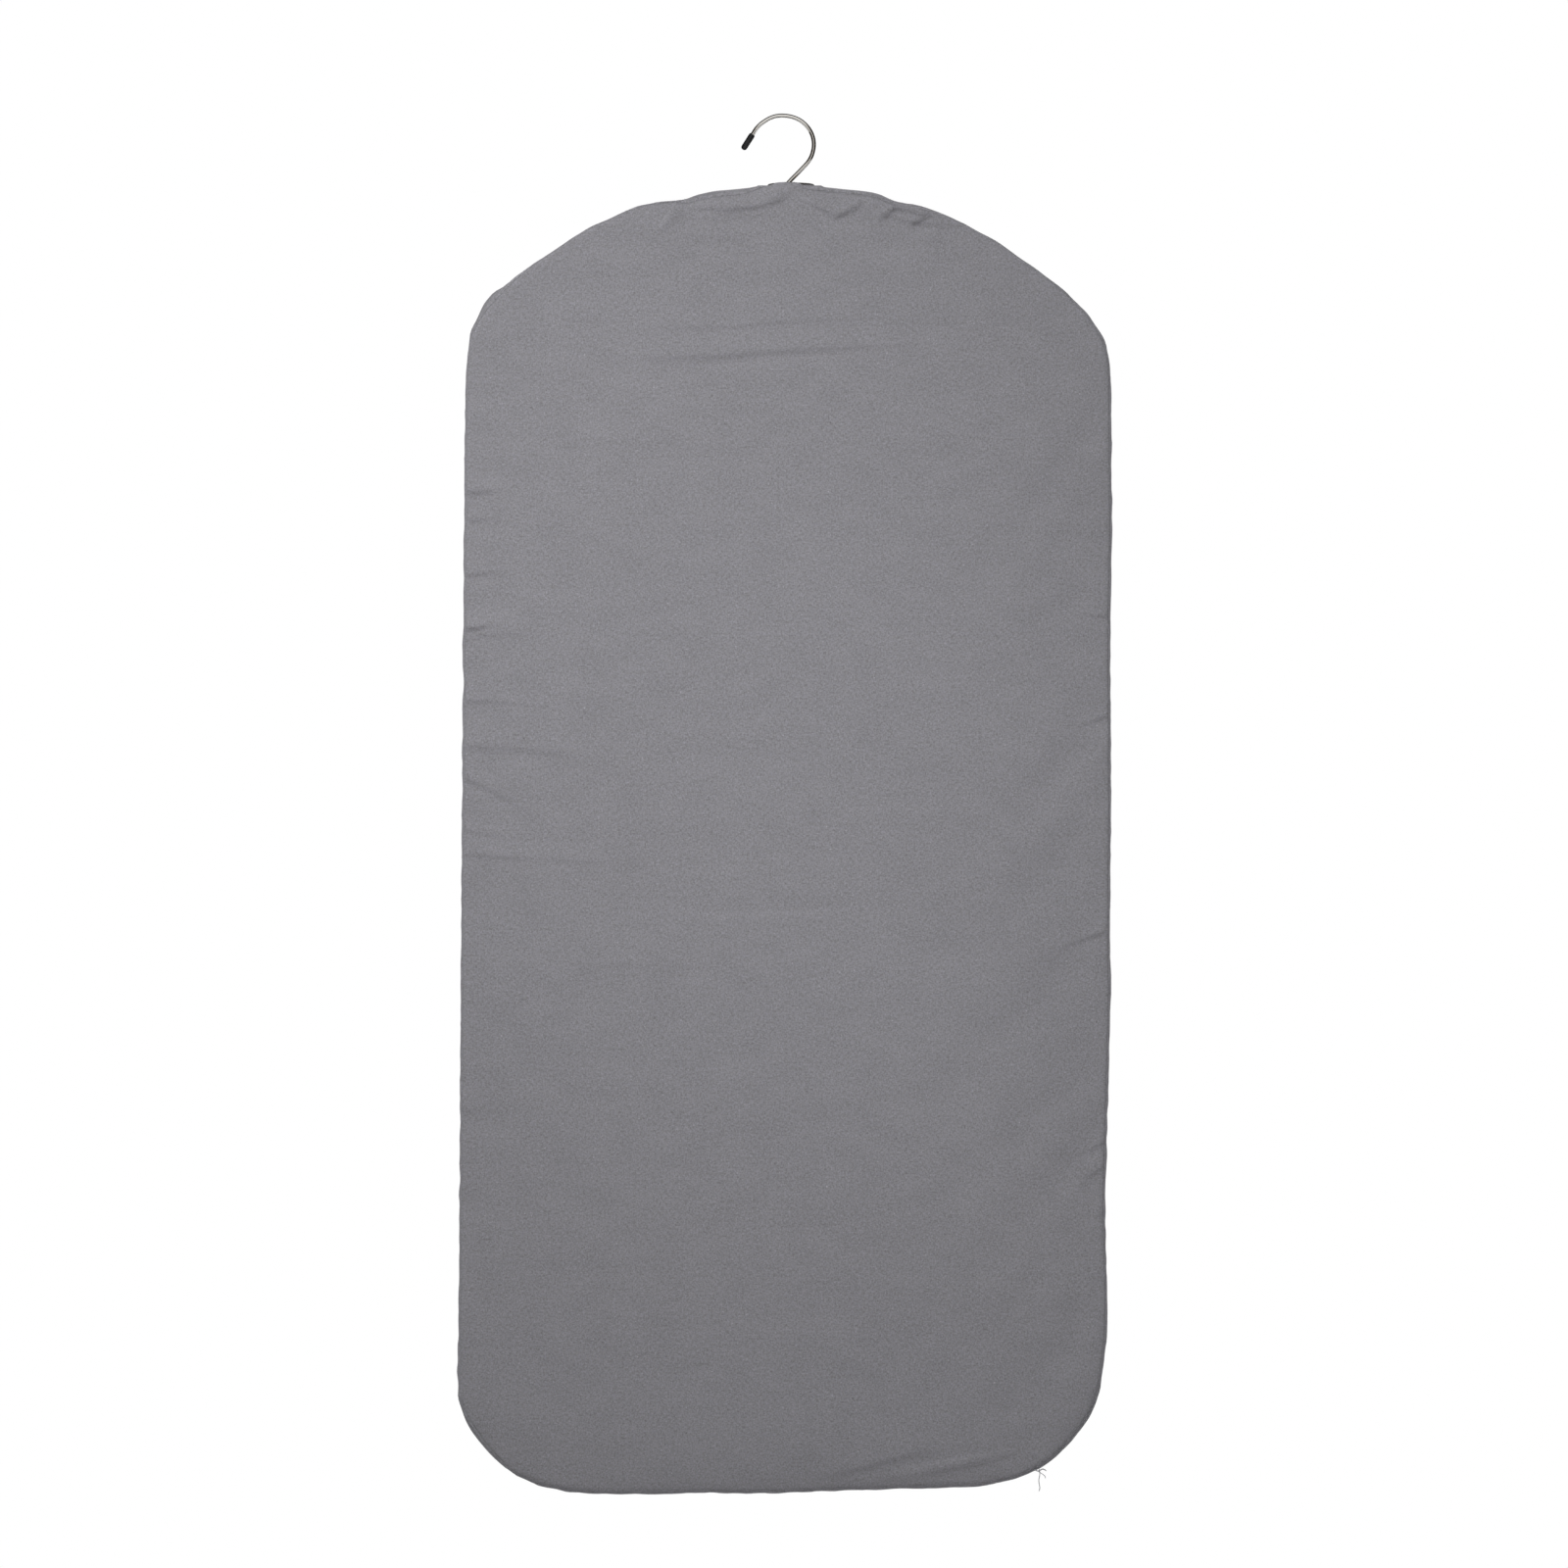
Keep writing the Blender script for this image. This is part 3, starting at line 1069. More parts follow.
def wood_material():
    """Lacquered beech with its grain along x."""
    g = Surface("beech_lacquer")
    at = g.object_place()
    swirl = g.noise(g.mapped(at, (6, 30, 30)), scale=1.0, detail=3.0, rough=0.6)
    bands = g.node("ShaderNodeTexWave", Scale=55, Distortion=6, Detail=3)
    bands.wave_type = "BANDS"
    bands.bands_direction = "Z"
    g.feed(bands.inputs["Vector"], g.mapped(at, (0.12, 1, 1)))
    pores = g.noise(g.mapped(at, (90, 1400, 1400)), scale=1.0, rough=0.7)
    grain = g.math("ADD", g.math("MULTIPLY", bands.outputs["Fac"], 0.5),
                   g.math("MULTIPLY", swirl, 0.5))
    colour = g.ramp(grain, [(0.15, (0.27, 0.14, 0.06)), (0.5, (0.42, 0.25, 0.12)),
                            (0.85, (0.52, 0.33, 0.17))])
    pore_share = g.math("MULTIPLY", g.math("SUBTRACT", pores, 0.6, clamp=True), 1.6, clamp=True)
    g.set({"Base Color": g.mix_colour(pore_share, colour, (0.2, 0.1, 0.045, 1)),
           "Roughness": g.scaled(pores, scale=0.2, offset=0.25),
           "Coat Weight": 0.35, "Coat Roughness": 0.2})
    g.bump(pores, strength=0.2, distance=0.0001)
    return g.material


def plastic_material(name, colour):
    g = Surface(name)
    at = g.object_place()
    grain = g.noise(at, scale=1500, rough=0.6)
    broad = g.noise(at, scale=60, detail=3.0, rough=0.6)
    dark, light = shades(colour, 0.85, 1.12)
    g.set({"Base Color": g.ramp(broad, [(0.2, dark), (0.8, light)]),
           "Roughness": g.scaled(grain, scale=0.18, offset=0.34)})
    g.bump(grain, strength=0.2, distance=0.00005)
    return g.material


def tape_material(name, colour):
    """Herringbone twill in the object's own coordinates."""
    stripes, rib_pitch, slant = 250, 0.0011, 26  # stripes a metre, metres, radians
    g = Surface(name)
    at = g.object_place()
    place = g.separate(at)
    flip = g.math("FRACT", g.math("MULTIPLY", place[0], stripes))
    flip = g.math("ABSOLUTE", g.math("SUBTRACT", flip, 0.5))
    phase = g.math("ADD", g.math("MULTIPLY", place[2], 2 * math.pi / rib_pitch),
                   g.math("MULTIPLY", flip, slant))
    rib = g.scaled(g.math("SINE", phase), scale=0.5, offset=0.5)
    grain = g.noise(at, scale=1500, rough=0.6)
    height = g.math("ADD", g.math("MULTIPLY", rib, 0.35), g.math("MULTIPLY", grain, 0.5))
    dark, light = shades(colour, 0.62, 1.22)
    g.set({"Base Color": g.ramp(height, [(0.1, dark), (0.8, light)]),
           "Roughness": 0.85, "Specular IOR Level": 0.25})
    g.bump(height, strength=0.6, distance=0.00012)
    return g.material


TAPE_GREY = (0.15, 0.148, 0.16)
MATERIALS = {
    "cloth": cloth_material("cloth_grey_melange", colour=(0.236, 0.232, 0.249)),
    "seam_tape": tape_material("seam_tape_grey", TAPE_GREY),
    "zip_tape": tape_material("zip_tape_grey", TAPE_GREY),
    "zip_coil": plastic_material("zip_coil_nylon", colour=(0.11, 0.11, 0.118)),
    "zip_metal": metal_material("zip_nickel", colour=(0.62, 0.61, 0.6), rough=0.16),
    "eyelet_metal": metal_material("eyelet_nickel", colour=(0.78, 0.77, 0.76), rough=0.10),
    "hook_chrome": metal_material("hook_chrome", colour=(0.86, 0.84, 0.80), rough=0.035,
                                  spots=0.3),
    "fastener_steel": metal_material("zinc_steel", colour=(0.55, 0.55, 0.56), rough=0.3,
                                     brushed=0.1),
    "vinyl": vinyl_material(),
    "wood": wood_material(),
    "thread": cloth_material("stitch_thread", colour=(0.31, 0.306, 0.325), strength=0.9,
                             flecks=False),
}


def paint(obj, material):
    obj.data.materials.clear()
    obj.data.materials.append(MATERIALS[material])


def dress(obj, slot, body, *replaced, material=None):
    """Gives a piece its material, body and slot, and names the CAD pieces it replaces."""
    paint(obj, material or slot)
    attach(obj, body)
    if replaced:
        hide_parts(*replaced)


# ---------------------------------------------------------------- the bag's cloth
PANEL_WEAVE = REST[:, [0, 2, 1]].copy()
PANEL_WEAVE[:, 2] = np.where(np.arange(len(REST)) < BAG.back_start, 0, PANEL_LAYER)
GUSSET_WEAVE = np.zeros((len(REST), 3))
for loop in LOOPS:
    GUSSET_WEAVE[loop] = np.stack([REST[loop, 1], RIM_ARC, np.full(RIM_COUNT, GUSSET_LAYER)], 1)


def keep_used(points, faces):
    """The points that the faces use, their old numbers, and the faces renumbered."""
    used = sorted({i for f in faces for i in f})
    index = {old: new for new, old in enumerate(used)}
    return points[used], used, [[index[i] for i in f] for f in faces]


def cloth_piece(name, piece, weave, node):
    points, used, faces = keep_used(SHAPE, [f for f, p in zip(BAG.faces, BAG.piece) if p == piece])
    obj = mesh_object(name, points, faces)
    weave_attribute(obj, weave[used] * MM)
    dress(solidify(obj, CLOTH_THICKNESS), "cloth", "bag", node)


cloth_piece("front_cloth", FRONT, PANEL_WEAVE, "front_panel")
cloth_piece("back_cloth_left", BACK_LEFT, PANEL_WEAVE, "back_panel_left")
cloth_piece("back_cloth_right", BACK_RIGHT, PANEL_WEAVE, "back_panel_right")
cloth_piece("gusset_cloth_left", GUSSET_LEFT, GUSSET_WEAVE, "gusset_left")
cloth_piece("gusset_cloth_right", GUSSET_RIGHT, GUSSET_WEAVE, "gusset_right")

eye_lo, eye_hi = cad_box("eyelet")
EYE_X, EYE_Y = (eye_lo[:2] + eye_hi[:2]) / 2
FLANGE_R = (eye_hi[0] - eye_lo[0]) / 2
EYE_TOP = eye_hi[2]
PATCH_HOLE_R = 17.0
PATCH_RUN = [i for i in range(RIM_COUNT) if on_patch(*((RIM[i] + RIM[(i + 1) % RIM_COUNT]) / 2))]


def patch():
    """The cloth round the eyelet, laid out afresh and finer, with the hole in it."""
    columns = np.array(PATCH_RUN + [PATCH_RUN[-1] + 1]) % RIM_COUNT
    section = np.array([SHAPE[loop[columns]] for loop in LOOPS])
    fine = np.arange(0, len(columns) - 0.5, 0.5)
    loop_shares = np.r_[0, GUSSET_SHARES, 1]
    shares = np.unique(np.r_[loop_shares, np.linspace(0.035, 0.965, 23)])
    grid = np.zeros((len(shares), len(fine), 3))
    for k in range(3):
        rows = np.array([np.interp(fine, np.arange(len(columns)), row[:, k]) for row in section])
        for j in range(len(fine)):
            grid[:, j, k] = np.interp(shares, loop_shares, rows[:, j])
    # the cloth is pressed flat under the flange
    radius = np.hypot(grid[:, :, 0] - EYE_X, grid[:, :, 1] - EYE_Y)
    flat = EYE_TOP - 2.35
    press = 1 - smoothstep(FLANGE_R + 0.1, FLANGE_R + 3.2, radius)
    press = np.where(grid[:, :, 1] < -20.9, 0.0, press)
    height = grid[:, :, 2] * (1 - press) + flat * press
    grid[:, :, 2] = np.where(radius < FLANGE_R + 0.8, np.minimum(height, flat), height)
    points = grid.reshape(-1, 3)
    radius = radius.reshape(-1)
    faces = [f for f in grid_faces(len(shares), len(fine))
             if min(radius[i] for i in f) >= PATCH_HOLE_R]
    # the rim of the opening is drawn on to the circle
    uses = {}
    for f in faces:
        for a, b in zip(f, f[1:] + f[:1]):
            edge = (min(a, b), max(a, b))
            uses[edge] = uses.get(edge, 0) + 1
    for i in {i for edge, count in uses.items() if count == 1 for i in edge}:
        if radius[i] < PATCH_HOLE_R + 4.5:
            arm = points[i, :2] - (EYE_X, EYE_Y)
            points[i, :2] = np.array((EYE_X, EYE_Y)) + arm / np.linalg.norm(arm) * PATCH_HOLE_R
    points, used, faces = keep_used(points, faces)
    obj = mesh_object("patch_cloth", points, faces)
    layer = np.full(len(used), PATCH_LAYER)
    weave_attribute(obj, np.stack([points[:, 0], points[:, 1], layer], 1) * MM)
    dress(solidify(obj, 0.9), "cloth", "bag", "hook_patch")


patch()

# Profile of a stitch: place along its length, thickness and lift, in shares.
STITCH_PROFILE = [(-0.5, 0.02, -0.9), (-0.42, 0.7, -0.25), (-0.2, 1.0, 0.25),
                  (0.2, 1.0, 0.25), (0.42, 0.7, -0.25), (0.5, 0.02, -0.9)]


def stitches(name, places, length, radius, slot="cloth"):
    """Round-ended lengths of thread, sunk at both ends. places: point, direction, normal."""
    sides, verts, faces = 6, [], []
    for place in places:
        point, direction, normal = (np.asarray(v, float) for v in place)
        side = np.cross(direction, normal)
        faces += loft_faces(len(STITCH_PROFILE), sides, start=len(verts))
        for at, thick, lift in STITCH_PROFILE:
            for k in range(sides):
                t = 2 * math.pi * k / sides
                verts.append(point + direction * at * length
                             + normal * (lift + thick * math.cos(t)) * radius
                             + side * thick * math.sin(t) * radius)
    obj = mesh_object(name, verts, faces, outward=True)
    weave_attribute(obj, np.array(verts) * MM)
    dress(obj, slot, "bag", material="thread")


def patch_end_stitches():
    places = []
    for i in (PATCH_RUN[0] + 1, PATCH_RUN[-1]):
        line = np.array([SHAPE[loop[i]] for loop in LOOPS])
        length = run_lengths(line)
        for q in np.arange(2.0, length[-1] - 1.5, 3.1):
            point, ahead = (np.array([np.interp(at, length, line[:, k]) for k in range(3)])
                            for at in (q, q + 0.5))
            direction = (ahead - point) / np.linalg.norm(ahead - point)
            normal = np.array([OUTWARD[i, 0], 0, OUTWARD[i, 1]])
            normal -= direction * (normal @ direction)
            normal /= np.linalg.norm(normal)
            places.append((point + normal * 0.1, direction, normal))
    stitches("patch_end_stitch", places, length=2.3, radius=0.3)


patch_end_stitches()

# ---------------------------------------------------------------- zip
zip_lo, zip_hi = cad_box("zip_coil_left")
ZIP_TOP, ZIP_BOTTOM = zip_hi[2], zip_lo[2]
COIL_PITCH = 1.55
COIL_X, COIL_REACH = 2.02, 1.02  # middle of a coil and its half width
COIL_Y, COIL_LIFT = 25.42, 0.74  # the same from front to back
COIL_WIRE_R = 0.33


def zip_topstitch(side, sign):
    places = []
    for x in (9.0, 12.2):
        y = SEAM_Y + BACK_RISE + float(folded_edge(x)) + 0.02
        places += [((sign * x, y, z), (0, 0, 1), (0, 1, 0)) for z in np.arange(-72.0, -1179.0, -3.3)]
    stitches(f"zip_topstitch_{side}", places, length=2.5, radius=0.3)


def zip_coil(side, sign):
    turns = (ZIP_TOP - ZIP_BOTTOM - 1.2) / COIL_PITCH
    t = np.linspace(0, 2 * math.pi * turns, int(turns * 9))
    x = COIL_X + COIL_REACH * np.cos(t) ** 3 * 0.35 + COIL_REACH * np.cos(t) * 0.65
    y = COIL_Y + COIL_LIFT * np.sin(t)
    shift = 0.25 * COIL_PITCH if sign > 0 else 0
    z = ZIP_BOTTOM + 0.6 + COIL_PITCH * t / (2 * math.pi) + shift
    z = z + 0.25 * COIL_PITCH * np.sin(t)
    coil = tube(f"zip_coil_{side}_wound", np.stack([sign * x, y, z], 1), COIL_WIRE_R, 5)
    dress(coil, "zip_coil", "bag", f"zip_coil_{side}")
    # the sewing line that holds the coil on its tape
    places = [((sign * 3.9, 24.25, z), (0, 0, 1), (0, 1, 0))
              for z in np.arange(ZIP_TOP - 2, ZIP_BOTTOM + 2, -3.0)]
    stitches(f"zip_tape_stitch_{side}", places, length=2.3, radius=0.2, slot="zip_tape")


def zip_tape(side, sign):
    """A woven band that ripples a little towards its outer edge."""
    node = f"zip_tape_{side}"
    lo, hi = cad_box(node)
    inner, outer = sorted((abs(lo[0]), abs(hi[0])))
    across = np.array([inner + d for d in (0, 0.35, 0.9, 2.6, 5.5, 8.6, 11.6)]
                      + [outer - 0.5, outer])
    down = np.linspace(max(lo[2], -1179.0), min(hi[2], -68.0), 321)  # its ends lie under the tabs
    random = np.random.default_rng(31 if sign > 0 else 32)
    parts = [(2 * math.pi / random.uniform(22, 75), random.uniform(0, 6.28),
              random.uniform(0.4, 1)) for _ in range(7)]
    ripple = sum(a * np.sin(k * down + p) for k, p, a in parts)[:, None] / 3.2
    share = ((across - inner) / (outer - inner))[None, :]
    x = sign * (across[None, :] + 0.22 * share ** 2 * (ripple - 1))
    y = hi[1] - 0.12 + 0.10 * ripple * share - 0.10 * share ** 4
    y = y + 0.06 * (across[None, :] < inner + 0.6)
    z = np.broadcast_to(down[:, None], x.shape)
    points = np.stack([x, y, z], 2).reshape(-1, 3)
    faces = [(a, d, c, b) if sign > 0 else (b, c, d, a)
             for a, b, c, d in grid_faces(len(down), len(across))]
    tape = solidify(mesh_object(f"{node}_woven", points, faces), 0.55)
    dress(tape, "zip_tape", "bag", node)


TOP_SEAM_Z, BOTTOM_SEAM_Z = -65.0, -1182.2


def tab_height(x, z):
    """A tab stands over the zip, lies down beside it and goes into the seam with the cloth."""
    over = 1 - float(smoothstep(5.5, 13.5, abs(x)))
    to_seam = max(0.0, min(TOP_SEAM_Z - z, z - BOTTOM_SEAM_Z))
    return 26.35 + 1.15 * over - 3.1 * math.exp(-to_seam / 2.1)


def zip_tab(node):
    """A cloth tab sewn across an end of the zip."""
    lo, hi = cad_box(node)
    columns, rows = 41, 23
    xs = np.linspace(lo[0], hi[0], columns)
    zs = np.linspace(max(lo[2], BOTTOM_SEAM_Z + 0.2), min(hi[2], TOP_SEAM_Z - 0.2), rows)
    points = []
    for z in zs:
        waist = 1 - 0.012 * math.cos((z - zs.mean()) * 0.35)
        for x in xs:
            ripple = 0.12 * 0.25 * math.sin(z * 0.9 + x * 0.13)
            points.append((x * waist, tab_height(x, z) + ripple, z))
    obj = mesh_object(f"{node}_cloth", points,
                      [tuple(reversed(f)) for f in grid_faces(rows, columns)])
    weave_attribute(obj, (np.array(points)[:, [0, 2, 1]] + (0, 0, TAB_LAYER)) * MM)
    solidify(obj, 0.9, offset=0.0)
    bevel(obj, 0.25, segments=2, angle=50)
    dress(obj, "cloth", "bag", node)
    x0, x1, z0, z1 = lo[0] + 2.2, hi[0] - 2.2, lo[2] + 2.0, hi[2] - 2.0
    places = []
    for start, end in (((x0, z0), (x1, z0)), ((x0, z1), (x1, z1)), ((x0, z0), (x0, z1)),
                       ((x1, z0), (x1, z1)), ((x0, z0), (-6.2, z1)), ((x1, z0), (6.2, z1))):
        start, end = np.array(start), np.array(end)
        length = np.linalg.norm(end - start)
        direction = (end - start) / length
        for k in np.arange(1.6, length - 1.0, 3.0):
            x, z = start + direction * k
            places.append(((x, tab_height(x, z) + 0.5, z), (direction[0], 0, direction[1]),
                           (0, 1, 0)))
    stitches(f"{node}_cloth_stitch", places, length=2.3, radius=0.3)


for make in (zip_topstitch, zip_coil, zip_tape):
    for side, sign in SIDES:
        make(side, sign)
zip_tab("zip_top_tab")
zip_tab("zip_bottom_tab")


def half_circle(radius, z, points, up=1):
    """Half a circle about x = 0: over the top, or with up = -1 underneath from right to left."""
    return [(up * radius * math.cos(a), z + up * radius * math.sin(a))
            for a in np.linspace(0, math.pi, points)]


def zip_puller():
    lo, hi = cad_box("zip_puller")
    pivot, y = hi[2] - 0.6, (lo[1] + hi[1]) / 2
    # right half of the plate: x, height over the pivot
    half = [(x, pivot + dz) for x, dz in (
        (3.0, 0.6), (3.35, 0.3), (3.4, -3.0), (3.45, -8.0), (3.7, -12.5), (4.05, -17.5),
        (4.3, -22.0), (4.4, -26.0))]
    end_r = 4.4
    half += [(end_r * math.cos(a), pivot - 29.6 - end_r * math.sin(a))
             for a in np.linspace(0, math.pi / 2, 14)]
    outline = half + [(-x, z) for x, z in reversed(half[:-1])]
    pull = plate("zip_puller_plate", outline, y - 0.55, y + 0.55)
    window_r, slot_r = 1.9, 2.5
    bow = [(x, 2 * (pivot - 7.6) - z) for x, z in half_circle(window_r, pivot - 7.6, 20)]
    window = plate("window", [(window_r, pivot + 4.0)] + bow + [(-window_r, pivot + 4.0)],
                   y - 3, y + 3)
    low = [(x, 2 * (pivot - 28.4) - z) for x, z in half_circle(slot_r, pivot - 28.4, 20)]
    high = [(-x, z) for x, z in half_circle(slot_r, pivot - 22.9, 20)]
    slot_hole = plate("slot", low + high, y - 3, y + 3)
    drilled(pull, [window, slot_hole])
    bevel(pull, 0.22, segments=3, angle=40)
    dress(pull, "zip_metal", "puller", "zip_puller")
    pin = tube("zip_puller_pin", [(x, y, pivot) for x in (-3.3, -1.9, 0, 1.9, 3.3)], 0.58, 20)
    dress(pin, "zip_metal", "puller")


zip_puller()
for node, width in (("zip_slider", 0.28), ("zip_top_stop_left", 0.5),
                    ("zip_top_stop_right", 0.5), ("zip_bottom_stop", 0.55)):
    paint(NODES[node], "zip_metal")
    bevel(NODES[node], width)

# ---------------------------------------------------------------- seam tapes inside
SURFACE = BVHTree.FromPolygons([tuple(p) for p in SHAPE],
                               [tuple(int(i) for i in f) for f in BAG.faces])
# Section of a tape: distance from the seam, distance from the cloth.
TAPE_PROFILE = [(2.2, 2.0), (3.2, 1.5), (6.0, 1.3), (9.4, 1.4), (9.4, 1.95), (6.0, 2.0),
                (3.2, 2.2), (2.2, 2.6)]


def seam_tape(name, loop, sign, keep, node):
    """A ribbon that follows a seam inside the bag, flat against the cloth."""
    normal = outward_normals(loop)
    closed = keep.all()
    first = 0 if closed else next(i for i in range(RIM_COUNT) if keep[i] and not keep[i - 1])
    order = [(first + k) % RIM_COUNT for k in range(RIM_COUNT)]
    run = [i for i in order if keep[i]]
    verts = []
    for i in run:
        for inset, lift in TAPE_PROFILE:
            x, z = loop[i] - normal[i] * inset
            hit = SURFACE.ray_cast((x, 0.0, z), (0.0, float(sign), 0.0))[0]
            y = hit.y if hit is not None else sign * (SEAM_Y + 2)
            verts.append((x, y - sign * lift, z))
    faces = loft_faces(len(run), len(TAPE_PROFILE), wrap=closed)
    dress(mesh_object(name, verts, faces, smooth=False, outward=True), "seam_tape", "bag", node)


seam_tape("front_seam_tape", FRONT_SEAM, -1, np.ones(RIM_COUNT, bool), "front_seam_binding")
for side, sign in SIDES:
    seam_tape(f"back_seam_tape_{side}", BACK_SEAM, 1, sign * RIM[:, 0] > 18.5,
              f"back_seam_binding_{side}")


# ---------------------------------------------------------------- eyelet
def turned(name, profile, sides=96):
    """A ring turned about the eyelet's axis from a closed profile of r, z."""
    verts = []
    for r, z in profile:
        for k in range(sides):
            a = 2 * math.pi * k / sides
            verts.append((EYE_X + r * math.cos(a), EYE_Y + r * math.sin(a), z))
    return mesh_object(name, verts, loft_faces(len(profile), sides, wrap=True), outward=True)


def arc(x, z, radius, start, end, points):
    """An arc in x, z, with its angles in degrees."""
    return [(x + radius * math.cos(math.radians(a)), z + radius * math.sin(math.radians(a)))
            for a in np.linspace(start, end, points)]


def eyelet():
    hole_r, barrel_r = 15.5, 16.4
    top, mouth_r, edge_r = EYE_TOP, 1.6, 1.0
    wall = (barrel_r - hole_r) / 2
    profile = [(hole_r, top - 5.3), (hole_r, top - mouth_r)]
    profile += arc(hole_r + mouth_r, top - mouth_r, mouth_r, 180, 92, 9)[1:]
    profile += [(18.2, top - 0.02)]
    profile += arc(FLANGE_R - edge_r, top - edge_r, edge_r, 80, -60, 9)
    profile += [(FLANGE_R - 0.75, top - 1.9), (barrel_r + 0.3, top - 1.75),
                (barrel_r, top - 2.1), (barrel_r, top - 5.0)]
    profile += arc(barrel_r - wall, top - 5.05, wall, 0, -180, 7)[1:-1]
    dress(turned("eyelet_ring", profile), "eyelet_metal", "bag", "eyelet")


def eyelet_washer():
    lo, hi = cad_box("eyelet_washer")
    low, high = lo[2], hi[2]
    profile = [(16.7, high), (18.0, high), (FLANGE_R - 0.4, high), (FLANGE_R, high - 0.3),
               (FLANGE_R, low + 0.3), (FLANGE_R - 0.4, low), (18.0, low), (17.0, low),
               (16.7, low + 0.2)]
    dress(turned("eyelet_back_washer", profile), "eyelet_metal", "bag", "eyelet_washer")


eyelet()
eyelet_washer()

# ---------------------------------------------------------------- hook
WIRE_R = 1.8
HOOK_LIFT = WIRE_R * math.cos(math.pi / 12)  # of the wire's middle over its stations
# Stations of the hook from its tip: x, z.
HOOK_LINE = [
    (-33.6, -26.2), (-30.1, -20.6), (-26.6, -15.2), (-24.1, -11.4), (-20.7, -7.7),
    (-16.8, -4.8), (-12.7, -2.4), (-8.3, -0.7), (-3.9, 0), (0.6, 0), (5.1, -0.6),
    (9.5, -1.9), (13.5, -3.8), (17.1, -6.4), (20.2, -9.6), (22.7, -13.2), (24.5, -17.2),
    (25.5, -21.5), (25.7, -25.8), (25.1, -30.0), (23.9, -34.2), (22.0, -38.0),
    (19.4, -41.5), (13.5, -47.8), (5.9, -55.4)]
BEND_R, BEND_TURN, BEND_Z = 4.0, math.pi / 4, -60.0  # bend into the upright stem
HEAD_Z = -95.6
# The peened head at the stem's foot: depth below HEAD_Z, radius.
HEAD = [(0.02, 3.3), (0.3, 3.6), (0.9, 3.6), (1.4, 3.1), (1.8, 2.2)]


def hook():
    line = [(x, z + HOOK_LIFT) for x, z in HOOK_LINE]
    path = list(catmull(line[:-1], 5)) + [line[-1]]
    reach = BEND_R * math.tan(BEND_TURN / 2)
    for k in range(8, -1, -1):
        a = math.pi - BEND_TURN * k / 8
        path.append((BEND_R + BEND_R * math.cos(a), BEND_Z - reach + BEND_R * math.sin(a)))
    path += [(0, z) for z in np.linspace(-64, HEAD_Z, 12)]
    path = np.array([(x, 0, z) for x, z in path])
    path = path[np.r_[True, np.linalg.norm(np.diff(path, axis=0), axis=1) > 0.05]]
    start = path[1] - path[0]
    radii = np.r_[1.3, np.full(len(path), WIRE_R), [r for _, r in HEAD]]
    path = np.vstack([path[0] - start / np.linalg.norm(start) * 0.4, path]
                     + [[(0, 0, HEAD_Z - depth)] for depth, _ in HEAD])
    dress(tube("hook_wire", path, radii, 28), "hook_chrome", "hook", "hook")


# The sleeve on the hook's tip: radius, place along its axis.
SLEEVE = [(0.02, -5.2), (0.8, -5.12), (1.5, -4.85), (2.1, -4.25), (2.5, -3.5), (2.66, -2.6),
          (2.7, -1.0), (2.68, 3.0), (2.7, 6.5), (2.69, 8.8), (2.62, 9.6), (2.42, 10.2),
          (2.12, 10.32), (1.95, 10.0), (1.93, 4.0), (1.93, -1.9), (0.02, -2.0)]


def hook_tip():
    (x0, z0), (x2, z2) = HOOK_LINE[0], HOOK_LINE[2]
    axis = np.array([x2 - x0, 0, z2 - z0]) / math.hypot(x2 - x0, z2 - z0)
    origin = np.array([x0, 0, z0 + HOOK_LIFT]) + axis * 1.6
    side = np.array([0, 1.0, 0])
    other = np.cross(axis, side)
    sides, verts = 32, []
    for r, place in SLEEVE:
        for k in range(sides):
            a = 2 * math.pi * k / sides
            verts.append(origin + axis * place + r * (math.cos(a) * side + math.sin(a) * other))
    sleeve = mesh_object("hook_tip_sleeve", verts, loft_faces(len(SLEEVE), sides), outward=True)
    dress(sleeve, "vinyl", "hook", "hook_tip")


hook()
hook_tip()

# ---------------------------------------------------------------- hanger
BAR_Z, BAR_END = -141, 191.6
# Stations of an arm: x, top z, height, half depth from front to back.
ARM = np.array([
    (0.15, -66.0, 34, 6.5), (12, -66.0, 33.4, 6.6), (30, -66.7, 31, 7.2),
    (60, -69.0, 28.4, 8.6), (95, -74.6, 27, 10.6), (130, -84.6, 28, 12.8),
    (160, -97.8, 31, 14.8), (180, -108.6, 34.5, 16.0), (196, -118.4, 36, 16.6),
    (207, -127, 31, 16.2), (214, -134.5, 23, 14.4), (218, -142, 12, 10.5)])
# Outside the neck the wood is slimmer, so that the folds of the cloth lie on it.
slim = np.clip((ARM[:, 0] - 30) / 60, 0, 1)
ARM[:, 1] -= 4.0 * slim
ARM[:, 2] -= 4.0 * slim
ARM[:, 3] -= 2.0 * slim
ARM[:, 0] -= 2.0 * np.clip((ARM[:, 0] - 150) / 60, 0, 1)


def upright_cutter(radius, low, high):
    bpy.ops.mesh.primitive_cylinder_add(vertices=40, radius=radius * MM, depth=(high - low) * MM)
    cutter = bpy.context.object
    cutter.location = (0, 0, (low + high) / 2 * MM)
    return cutter


def bar_cutter(radius, reach):
    bpy.ops.mesh.primitive_cylinder_add(vertices=40, radius=radius * MM, depth=2 * reach * MM)
    cutter = bpy.context.object
    cutter.rotation_euler = (0, math.pi / 2, 0)
    cutter.location = (0, 0, BAR_Z * MM)
    return cutter


def squircle(value):
    """Squares off a cosine or sine."""
    return math.copysign(abs(value) ** 0.62, value)


